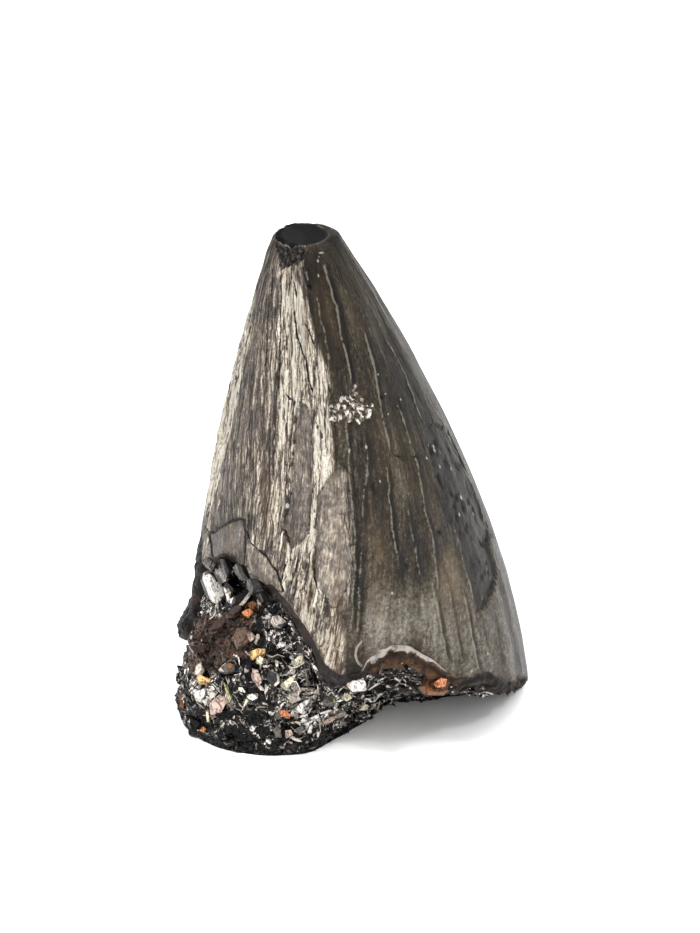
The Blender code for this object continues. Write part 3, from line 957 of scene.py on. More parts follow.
# How the enamel looks
enamel = {
    # the left face's gain is partly painted light and the right face's partly painted shade
    "leftColourAndLightGain": 0.67,  # how light the enamel is on the left face, on the right, and elsewhere
    "rightColourAndShadeGain": 0.475,
    "gain": 0.50,
    "warmth": 0.55,
    "streaks": 0.75,
    "strands": 0.34,  # how much each pattern adds to the fine lines
    "outlines": 0.42,
    "wideLaths": 0.22,
    "thinLaths": 0.30,
    "blotches": 0.30,  # and to the tone
    "mottle": 1.3,
    "grains": 1.5,
    "stain": 0.34,
    "beads": 1.5,
    "paleRidgesAndSheen": 0.7,
    "chipGain": 1.35,
    "splinterGain": 0.8,
    "glints": 0.55,
    "bump": 0.00018,  # metres
    "grainBump": 2.4,  # as a share of the lines' bump
}
enamelColours = {
    "warm": (150, 122, 82),
    "stain": (140, 108, 76),
    "slate": (30, 27, 24),
    "slatePale": (62, 58, 52),
    "ridge": (190, 186, 170),
    "lip": (214, 206, 192),
    "groove": (30, 24, 20),
    "wall": (25, 20, 17),
    "wallBrown": (86, 62, 46),
    "stone": (52, 48, 46),
    "archDark": (36, 24, 18),
    "arch": (136, 98, 68),
    "rim": (255, 246, 236),
    "tip": (8, 8, 9),
    "fleck": (238, 236, 226),
    "gold": (212, 198, 132),
}

# enamel colours from dark grooves to pale crests, worn and partly painted highlight, on the left face and
# on the right
leftTones = (
    (0, (56, 48, 42)), (0.22, (92, 84, 77)), (0.4, (128, 119, 110)), (0.6, (189, 175, 156)),
    (0.8, (243, 229, 206)), (1, (255, 249, 233)),
)
rightTones = (
    (0, (20, 16, 12)), (0.22, (56, 45, 32)), (0.42, (95, 82, 61)), (0.62, (138, 129, 115)),
    (0.82, (184, 176, 160)), (1, (224, 216, 196)),
)
# the struck chip's facet colours; the whitest stops are painted glints
chipTonesAndGlints = (
    (0, (62, 54, 46)), (0.27, (104, 95, 82)), (0.48, (162, 152, 138)), (0.62, (226, 218, 206)),
    (0.72, (255, 253, 251)),
)
splinterTones = (
    (0, (30, 27, 26)), (0.36, (64, 60, 56)), (0.6, (96, 91, 84)), (0.8, (132, 126, 115)),
    (0.95, (206, 200, 182)),
)


# fossil enamel: the vertex attributes say what lies where, and noise stretched along the
# grain gives the fine lines between
def enamelFinish(name, specular):
    made = Finish(name)
    colours = {key: tint(*colour, enamel["gain"]) for key, colour in enamelColours.items()}
    grain = made.attribute("grain", "Vector")
    spot = made.spot()
    depth = made.attribute("depth")

    hair = made.noise(grain, (4, 4, 0.5), 3, 0.6, 0.4)
    fineHair = made.noise(grain, (10, 10, 1.2), 2, 0.6, 0.5)
    speck = made.noise(spot, 6.0, 2, 0.6)
    blotch = made.noise(spot, 0.5, 4, 0.6)
    strands = made.math("PINGPONG", made.noise(grain, (2.6, 2.6, 0.16), 2, 0.55) * 5, 0.5)
    lines = hair * 0.9 + fineHair * 1.2 + speck * 0.6
    lines += made.step(strands, 0.02, 0.22) * enamel["strands"]
    lines -= 1.44
    # splintered laths: long cells, bent by noise, each with its own tone and a dark outline
    bent = made.bent(grain, 1.1, 3, 0.55)
    wide = made.scaled(bent, (1.9, 1.9, 0.2))
    thin = made.scaled(bent, (4.4, 4.4, 0.42))
    wideEdge = made.cells(wide, 1.0, "DISTANCE_TO_EDGE")
    thinEdge = made.cells(thin, 1.0, "DISTANCE_TO_EDGE")
    outline = made.math("MAXIMUM", made.step(wideEdge, 0.1, 0.02), made.step(thinEdge, 0.14, 0.03) * 0.65)
    wideTone = made.cells(wide, 1.0, "F1", "Color")
    thinTone = made.cells(thin, 1.0, "F1", "Color")
    lines += (wideTone - 0.5) * enamel["wideLaths"]
    lines += (thinTone - 0.5) * enamel["thinLaths"]
    lines -= outline * enamel["outlines"]
    tone = made.attribute("tone") + made.attribute("detail")
    tone += lines * made.attribute("streak") * enamel["streaks"]
    tone += (blotch - 0.5) * enamel["blotches"]
    worn = made.math("MAXIMUM", made.attribute("flaked"), made.attribute("blocks"))
    mottle = made.noise(grain, (5, 5, 2.2), 4, 0.72) * 0.6
    mottle += made.noise(spot, 1.7, 3, 0.7) * 0.55
    mottle = (mottle - 0.575) * made.step(worn, 0.0, 0.06)
    grainy = made.noise(grain, (5.5, 5.5, 3.6), 4, 0.85) - 0.5
    grainy += made.step(made.noise(spot, 5.0, 2, 0.6), 0.62, 0.72, 0, 0.16)
    grainy *= 1.0 - made.attribute("leftFace")
    tone += mottle * enamel["mottle"] + grainy * enamel["grains"]

    stain = made.step(made.noise(grain, (1.1, 1.1, 0.14), 3, 0.6), 0.52, 0.68, 0, enamel["stain"])
    left = made.mix(stain, made.ramp(tone, tones(leftTones, enamel["leftColourAndLightGain"])), colours["stain"])
    golden = made.attribute("warm") * made.step(blotch, 0.36, 0.6, 0.35, 1)
    right = made.ramp(tone, tones(rightTones, enamel["rightColourAndShadeGain"]))
    right = made.mix(golden * enamel["warmth"], right, colours["warm"])
    made.base = made.mix(made.attribute("leftFace"), right, left)

    torn = (speck - 0.5) * 0.1
    slate = made.attribute("slate") + torn
    worked = hair * 0.6 + made.noise(spot, 1.8, 4, 0.75) * 0.6
    slateColour = made.mix(made.step(worked, 0.5, 0.72), colours["slate"], colours["slatePale"])
    made.paint(made.step(slate, -0.02, 0.06) * 0.9, slateColour)
    flaked = made.math("MAXIMUM", made.attribute("flaked"), made.attribute("blocks")) + torn
    border = made.math("COMPARE", flaked, 0.01, 0.035)
    made.paint(border * 0.6, colours["groove"])

    # the raised ridges are painted pale: partly their own pale crests, partly painted highlight where they
    # catch the light
    beads = (made.noise(spot, 4.2, 3, 0.6) - 0.5) * enamel["beads"]
    ridge = made.step(made.attribute("ridge") + beads, 0.28, 0.65)
    made.paint(ridge * enamel["paleRidgesAndSheen"], colours["ridge"])
    made.paint(made.step(made.attribute("lip"), 0.4, 0.8), colours["lip"])
    pit = made.step(made.attribute("pit") + torn, 0.25, 0.6)
    made.paint(pit * 0.85, colours["groove"])
    crack = made.step(made.attribute("crack") + torn, 0.03, 0.08, 1, 0)
    made.paint(crack, colours["groove"])

    # the struck chip's facets take tones at random, the whitest of them painted glints
    facet = made.attribute("facet")
    chip = made.step(made.attribute("chip") + torn, 0.0, 0.06)
    facet += torn * 3
    made.paint(chip, made.ramp(facet, tones(chipTonesAndGlints, enamel["chipGain"]), "CONSTANT"))
    splinters = made.step(made.attribute("tipChip") + torn, 0.0, 0.06)
    made.paint(splinters, made.ramp(facet, tones(splinterTones, enamel["splinterGain"]), "CONSTANT"))
    glint = made.cells(spot, 1.5, "F1", "Color")
    near = made.cells(spot, 1.5, "F1", "Distance")
    glint = made.step(glint, 0.8, 0.84) * made.step(near, 0.13, 0.07)
    fleck = made.step(made.attribute("fleck") + torn, 0.4, 0.6)
    made.paint(fleck, made.mix(made.attribute("gold"), colours["fleck"], colours["gold"]))

    # the broken section: bright at the arched rim, pale enamel in section with painted highlight on its
    # rounded margin, orange-brown under it, near black elsewhere
    arch = made.attribute("arch")
    rings = made.noise(spot, 1.6, 4, 0.65)
    wall = made.mix(made.step(rings, 0.48, 0.66), colours["wall"], colours["wallBrown"])
    rough = rings * 0.6 + made.noise(spot, 3.2, 3, 0.7) * 0.5
    stone = made.mix(made.step(rough, 0.56, 0.72), colours["tip"], colours["stone"])
    made.paint(made.step(made.attribute("stone"), -0.05, 0.05), stone)
    brown = made.mix(made.step(rings, 0.36, 0.58), colours["archDark"], colours["arch"])
    wall = made.mix(made.attribute("warm") * made.step(rings, 0.4, 0.6), wall, colours["archDark"])
    section = made.mix(arch, wall, brown)
    made.paint(made.step(depth, -0.5, 0.0), section)
    thick = made.noise(spot, 1.5, 3, 0.65)
    lowest = made.step(made.attribute("above"), 0.02, 0.09, 1, 0)
    beyond = depth + (thick - 0.5) * 0.9
    beyond -= made.attribute("rim")
    rim = lowest * made.step(beyond, 0.04, -0.05)
    rim *= made.step(made.attribute("rim"), 0.02, 0.06)
    shaded = made.step(depth, 0.16, 0.26) * made.step(depth, 0.62, 0.42) * arch
    made.paint(shaded * 0.8, colours["archDark"])
    # the near white rim: pale enamel in section, partly painted highlight
    made.paint(rim * made.step(rings, 0.34, 0.54, 0.3, 1), colours["rim"])
    tip = made.attribute("tip")
    brink = made.step(tip + torn, 0.02, 0.12) * made.step(rings, 0.42, 0.58, 0, 0.6)
    made.paint(brink, colours["ridge"])
    made.paint(made.step(tip + torn, 0.32, 0.42), colours["tip"])

    made.paint(glint * enamel["glints"], colours["ridge"])
    rough = 0.34 + made.attribute("leftFace") * 0.06
    rough += made.step(depth, -0.5, 0.2) * 0.15
    rough += tip * 0.3
    height = lines * made.attribute("streak") + speck * 0.45
    height += grainy * enamel["grainBump"]
    return made.finished(rough, specular, height, enamel["bump"], 1.0)


# The stone that filled the hollow
filling = {
    "columns": 640,
    "frontStep": 0.41,
    "backStep": 2.5,
    "slopeRows": 128,
    "insideRows": 5,
    "overlap": 0.25,  # how far it runs up behind the wall's inner edge
    "lowestBreak": 1.5,
    "swellPower": 1.7,
    "hollowPower": 1.4,
    "lumps": 0.34,
    "plates": 0.40,
    "plateSize": 1.15,
    "flakes": 0.20,
    "flakeSize": 0.58,
    "folds": 0.16,
    "frontLeft": -122,
    "frontRight": 98,
    "gap": 0.3,  # between it and the hollow's wall
    "setBack": 1.3,  # how far it lies back near the top of the gap
}

# its outline on the ground: azimuth and distance from the crown's axis
footprint = np.array((
    (-180, 9.6), (-130, 9.6), (-116, 10.2), (-104, 11.6), (-90, 12.2), (-68, 12), (-55, 11.2), (-39, 9.5),
    (-24, 7.6), (-17, 5.6), (-6, 4.1), (12, 2.9), (35, 1.8), (66, 1.4), (84, 2.4), (90, 6), (96, 9),
    (104, 9.6), (180, 9.6),
))

# where the stone is painted white, partly pale flakes and partly painted glitter highlight, where it is
# smooth
# and black, and where it is brown: azimuth, height, reach in degrees, reach in mm, level
silverPlaces = (
    (-61, 3.7, 4, 0.8, 1), (-57, 3.1, 3.4, 0.7, 1), (-66, 3, 4, 0.6, 0.8), (-31, 4.6, 4, 0.8, 1),
    (-27, 4, 3.6, 0.7, 1), (-19, 4.4, 3.6, 0.8, 0.9), (-23, 2.4, 3, 0.4, 0.6), (-35, 6.1, 3, 0.6, 0.5),
    (-78, 9.8, 4, 1.3, 1), (-22, 3.2, 6, 0.9, 0.8), (-13, 4.4, 4, 0.8, 0.8), (-28, 5.4, 4, 0.6, 0.7),
    (-28, 6.6, 3, 0.8, 0.5), (-12, 5.2, 3, 0.7, 0.7), (32, 5.4, 3, 0.6, 0.6),
)
calmPlaces = (
    (-43, 6, 5, 1, 0.8), (-36, 7.2, 6, 1.2, 0.5), (-52, 5.5, 6, 1, 0.5), (-51, 2.3, 6, 1.1, 1),
    (-46, 1.5, 7, 0.9, 1), (-66, 1.3, 7, 0.9, 0.8), (-56, 11.8, 22, 1.3, 0.9), (-75, 0.6, 9, 0.6, 0.5),
    (-40, 0.5, 30, 0.5, 0.6), (26, 5.2, 13, 1.5, 1), (48, 4.5, 12, 1.5, 0.6),
)
brownPlaces = (
    (-62, 7.3, 9, 1.5, 1), (-49, 8.1, 4.2, 1.1, 1), (-53, 9.8, 6, 0.6, 1), (-72, 5.8, 9, 1.8, 1),
    (-46, 10.4, 4, 0.4, 0.8), (-79, 1, 2.4, 0.5, 1), (-80, 4.5, 5, 1, 0.8),
)


# the filling's bare slope: from its foot on the ground to where it meets the wall, the radius
# changes by a power of the share of the height. Near the top of the gap it is set back
def slopePoints(azimuth, share):
    outer = alongOutline(brokenEdge, azimuth, 1, 2.5)
    leaves = outer - alongOutline(brokenEdge, azimuth, 2, 2.5) + filling["overlap"]
    leaves = np.maximum(leaves, filling["lowestBreak"])
    foot = alongOutline(footprint, azimuth, 1, 2.5)
    inside = cavityRadius(leaves) + 0.02
    power = np.where(foot > inside, filling["swellPower"], filling["hollowPower"])
    height = leaves * share
    radius = foot + (inside - foot) * share**power
    setBack = bell(azimuth, -62, 20) * ease(height, 8.2, 10.8)
    return place(azimuth, height, radius - filling["setBack"] * setBack), height


# points moved by smooth noise, which bends whatever is built on them
def bentPoints(spot, reach, amount, seed):
    return [c + amount * noise(*over(spot, reach, reach), seed + k) for k, c in enumerate(spot)]


# the filling: two flat rings under it, the bare slope and the part inside the hollow. Lumps,
# tilted plates and flakes and folds are added along the normals of the slope
def makeFilling():
    azimuth = packedAzimuths(filling["columns"], filling["frontStep"], filling["backStep"],
                             filling["frontLeft"], filling["frontRight"])
    share = np.linspace(0, 1, filling["slopeRows"])[:, None]
    slope, heights = slopePoints(azimuth, share)
    top = crown["cavityTop"] - filling["gap"]
    rise = np.sin(np.linspace(0, 1, filling["insideRows"], endpoint=False) * math.pi / 2)[:, None]
    rise = 0.02 + rise * 0.96
    inside = heights[-1] + (top - heights[-1]) * rise
    buried = place(azimuth, inside, cavityRadius(inside) - filling["gap"])
    foot = alongOutline(footprint, azimuth, 1, 2.5) * np.array([[0.4], [0.8]])
    flat = place(azimuth, np.zeros_like(foot), foot)
    grid = np.concatenate([flat, slope, buried])
    rows, columns = grid.shape[:2]
    spot = grid[..., 0], grid[..., 1], grid[..., 2]
    z = spot[2]
    az = np.broadcast_to(azimuth, (rows, columns))
    onSlope = np.zeros((rows, 1))
    onSlope[2:2 + filling["slopeRows"]] = 1

    silver = blendLevels(silverPlaces, 0, az, z)
    calm = blendLevels(calmPlaces, 0, az, z)
    brown = blendLevels(brownPlaces, 0, az, z)
    rough = 1 - 0.8 * np.maximum(calm, 0.8 * brown)
    lumps = layeredNoise(*over(spot, 2.2, 2.2), 81, 2)
    bent = bentPoints(spot, 0.9, 0.45, 85)
    plate, _, plateTilt = facets(*over(bent, filling["plateSize"], filling["plateSize"]), 82)
    bent = bentPoints(bent, 0.45, 0.22, 88)
    flake, gap, tilt = facets(*over(bent, filling["flakeSize"], filling["flakeSize"]), 83)
    folds = np.abs((4 * noise(*over(bent, 0.9, 0.9), 84)) % 1 - 0.5) * 2

    lift = filling["lumps"] * lumps
    lift = lift + filling["plates"] * (0.8 * plateTilt + 0.7 * (plate - 0.5)) * (0.4 + 0.6 * rough)
    lift = lift + filling["flakes"] * (tilt + 0.9 * (flake - 0.5)) * rough
    lift = lift + filling["folds"] * (folds - 0.5) * rough
    fade = 1 - np.concatenate([[[0], [0]], share, np.ones((filling["insideRows"], 1))])
    lift = lift * onSlope * ease(fade, 0, 0.06)
    points = grid + gridNormals(grid) * lift[..., None]
    points[..., 2] = np.maximum(points[..., 2], 0)
    points[:3, :, 2] = 0
    poles = np.array([place(0, 0, 0), place(0, top, 0)])
    marks = {"flake": flake, "gap": gap, "silver": silver, "calm": calm, "brown": brown, "rise": z}
    attributes = {key: np.append(value, (0, 0)) for key, value in marks.items()}
    faces = wrappedFaces(rows, columns)
    made = meshObject("matrix_mass", np.concatenate([points.reshape(-1, 3), poles]), faces, attributes)
    bare = slice(2, 2 + filling["slopeRows"])
    return made, azimuth, points[bare], gridNormals(grid)[bare]


# places on a grid of points, picked at random by the area of its quads times a weight.
# Returns positions, normals and the grid's row and column
def scatter(points, normals, weight, count, random):
    across = np.roll(points, -1, axis=1) - points
    up = points[1:] - points[:-1]
    area = np.linalg.norm(np.cross(across[:-1], up), axis=-1) * weight[:-1]
    chance = area.ravel() / area.sum()
    picked = random.choice(len(chance), count, p=chance)
    row, column = np.unravel_index(picked, area.shape)
    a, b = random.random((2, count, 1))
    spot = points[row, column] + across[row, column] * a + up[row, column] * b
    return spot, normals[row, column], row, column


# unit vectors
def unit(vectors):
    return vectors / np.maximum(np.linalg.norm(vectors, axis=-1, keepdims=True), 1e-9)


# a direction across each normal, turned by an angle from level
def tangents(normals, angle):
    level = unit(np.cross((0, 0, 1), normals))
    upward = np.cross(normals, level)
    return level * np.cos(angle)[:, None] + upward * np.sin(angle)[:, None]


# heights (n, rows, columns) with each piece that reaches under the ground raised onto it
def aboveGround(heights):
    return heights - np.minimum(heights.min(axis=(1, 2), keepdims=True), 0)


# curved slivers: a diamond section, slimmer towards both ends, carried along a bowed line.
# t runs -1 to 1: the line is along * t plus a bow of 1 - t^2, the section scales by its root
def slivers(name, spots, along, out, length, width, thickness, bow, tone, stations=7):
    t = np.linspace(-1, 1, stations)[None, :, None]
    side = np.cross(out, along)
    line = spots[:, None] + along[:, None] * (length[:, None, None] / 2 * t)
    line = line + (side * bow[:, None])[:, None] * (1 - t**2)
    swell = np.maximum(1 - t**2, 0) ** 0.6 * 0.85 + 0.15
    reach = side * width[:, None] / 2
    rise = out * thickness[:, None] / 2
    section = np.stack([reach, rise, -reach, -rise], 1)
    points = line[:, :, None] + section[:, None] * swell[..., None]
    count = len(spots)
    index = np.arange(count * stations * 4).reshape(count, stations, 4)
    after = np.roll(index, -1, axis=2)
    walls = np.stack([index[:, :-1], after[:, :-1], after[:, 1:], index[:, 1:]], -1).reshape(-1, 4)
    ends = np.concatenate([index[:, 0, ::-1], index[:, -1]])
    points[..., 2] = aboveGround(points[..., 2])
    attributes = {"tone": np.repeat(tone, stations * 4)}
    return meshObject(name, points.reshape(-1, 3), [walls, ends], attributes, smooth=False)


# angular flakes: plates whose outline is given as corners (n, k, 2) in mm. The face is drawn
# in from the outline by a quarter, the back by a fifth, and the plate bends by bend * x^2. The
# rim, a painted crescent highlight where its tone is paler than the face, shows along the first
# corners only, and the sides are dark
def flakes(name, middle, across, upward, out, corners, thickness, bend, tone, rim):
    count, k = corners.shape[:2]
    rings = []
    for share, depth in ((0.8, -1.0), (1.0, -0.15), (0.76, 0.25)):
        flat = corners * share
        away = depth * thickness[:, None] - bend[:, None] * flat[..., 0]**2
        rings.append(middle[:, None] + across[:, None] * flat[..., :1] + upward[:, None] * flat[..., 1:]
                     + out[:, None] * away[..., None])
    points = np.stack(rings, 1)
    points[..., 2] = aboveGround(points[..., 2])
    index = np.arange(count * 3 * k).reshape(count, 3, k)
    after = np.roll(index, -1, axis=2)
    walls = np.stack([index[:, :-1], after[:, :-1], after[:, 1:], index[:, 1:]], -1).reshape(-1, 4)
    caps = np.concatenate([index[:, 0, ::-1], index[:, 2]])
    edge = np.zeros((count, 3, k))
    edge[:, 0] = -1
    edge[:, 1, :k // 2 + 1] = 1
    attributes = {"tone": np.repeat(tone, 3 * k), "rim": np.repeat(rim, 3 * k), "edge": edge.ravel()}
    return meshObject(name, points.reshape(-1, 3), [walls, caps], attributes, smooth=False)


# The loose-looking bits that stud the bare stone
grit = {
    "slivers": 300,
    "sliverLength": (0.45, 1.3),
    "sliverWidth": (0.10, 0.22),
    "sliverThickness": (0.05, 0.12),
    "flakes": 620,
    "flakeLength": (0.6, 1.7),
    "flakeWidth": (0.22, 0.62),
    "flakeThickness": (0.10, 0.24),
    "seed": 5,
    "lean": 0.18,  # spreads of the tilts, in radians
    "roll": 0.32,
    "turn": 0.4,
    "bow": 0.13,  # a sliver's bow, as a share of its length
    "bend": 0.7,
    "shorter": 0.7,  # how much shorter they are at the far left
}

# Colours of the bits, from the commonest dark ones to the rare golden ones; the pale to silver ones are
# partly painted highlight
stoneTones = (
    (9, 8, 8), (24, 22, 21), (52, 50, 48), (96, 92, 88), (150, 140, 131), (202, 190, 178), (252, 245, 237),
    (238, 230, 200), (186, 184, 134), (232, 190, 124), (222, 142, 96), (204, 178, 166), (128, 84, 54),
    (104, 84, 70), (56, 41, 33),
)
stoneNames = (
    "black", "dark", "slate", "grey", "ash", "pale", "silver", "cream", "lime", "gold", "orange", "pink",
    "rust", "umber", "bark",
)
stoneOdds = (0.26, 0.17, 0.13, 0.12, 0.1, 0.09, 0.08, 0.02, 0.008, 0.003, 0.003, 0.012, 0.006, 0.01, 0.01)


# a place for each name or number on the scale of tones, from 0 to 1
def toneOf(index):
    return (np.asarray(index) + 0.5) / len(stoneTones)


# the grit: bits strewn over the bare stone by area, fewer where it is calm or brown, lying
# nearly along it and swirling together, each with a random size, tone and tilt
def makeGrit(azimuth, points, normals):
    random = np.random.default_rng(grit["seed"])
    inFront = ease(azimuth, -122, -106) * (1 - ease(azimuth, 58, 70))
    heights = points[..., 2]
    wide = np.broadcast_to(azimuth, heights.shape)
    brown = blendLevels(brownPlaces, 0, wide, heights)
    calm = np.maximum(blendLevels(calmPlaces, 0, wide, heights), 0.95 * brown)
    weight = inFront * (1 - 0.9 * calm) * (1 - ease(heights, 7.6, 8.8) * bell(wide, -68, 16))
    odds = np.array(stoneOdds) / sum(stoneOdds)
    made = []
    for name in ("sliver", "flake"):
        count = grit[name + "s"]
        spots, out, row, column = scatter(points, normals, weight, count, random)
        silver = blendLevels(silverPlaces, 0, azimuth[column], spots[:, 2])
        swirl = 3.5 * noise(spots[:, 0] / 1.1, spots[:, 1] / 1.1, spots[:, 2] / 1.1, 91)
        along = tangents(out, swirl + random.normal(0, grit["turn"], count))
        lean = random.normal(0, grit["lean"], count)[:, None]
        along, out = unit(along + out * lean), unit(out - along * lean)
        roll = random.normal(0, grit["roll"], count)[:, None]
        out = unit(out + np.cross(out, along) * roll)
        length = random.uniform(*grit[name + "Length"], count)
        kind = random.choice(len(odds), count, p=odds)
        kind = np.where((kind < 6) & (random.random(count) < 0.9 * silver), kind // 2 + 4, kind)
        low = heights[row, column] < 1.0 + random.random(count)
        kind = np.where(low & (random.random(count) < 0.9), kind % 3, kind)
        length = length * (1 - grit["shorter"] * ease(-azimuth[column], 62, 84))
        spots[:, 2] = np.maximum(spots[:, 2], length / 2)
        width = random.uniform(*grit[name + "Width"], count)
        thickness = random.uniform(*grit[name + "Thickness"], count)
        if name == "sliver":
            kind = np.where(random.random(count) < 0.5, np.maximum(kind, 3 + kind % 4), kind)
            bow = random.normal(0, grit["bow"], count) * length
            spots = spots + out * random.uniform(-0.03, 0.04, count)[:, None]
            made.append(slivers("grit_slivers", spots, along, out, length, width, thickness, bow,
                                toneOf(kind)))
        else:
            turn = (np.arange(5) + random.uniform(-0.42, 0.42, (count, 5))) * math.pi / 2.5
            far = random.uniform(0.5, 1.15, (count, 5))
            spread = np.stack([length, width], -1)[:, None] / 2
            corners = np.stack([np.cos(turn) * far, np.sin(turn) * far], -1) * spread
            rim = np.where(random.random(count) < 0.5, np.clip(kind + 3, 0, 6), np.minimum(kind, 1))
            spots = spots + out * random.uniform(-0.08, 0.05, count)[:, None]
            upward = np.cross(out, along)
            bend = random.normal(0, grit["bend"], count)
            made.append(flakes("grit_flakes", spots, along, upward, out, corners, thickness, bend,
                               toneOf(kind), toneOf(rim)))
    return made


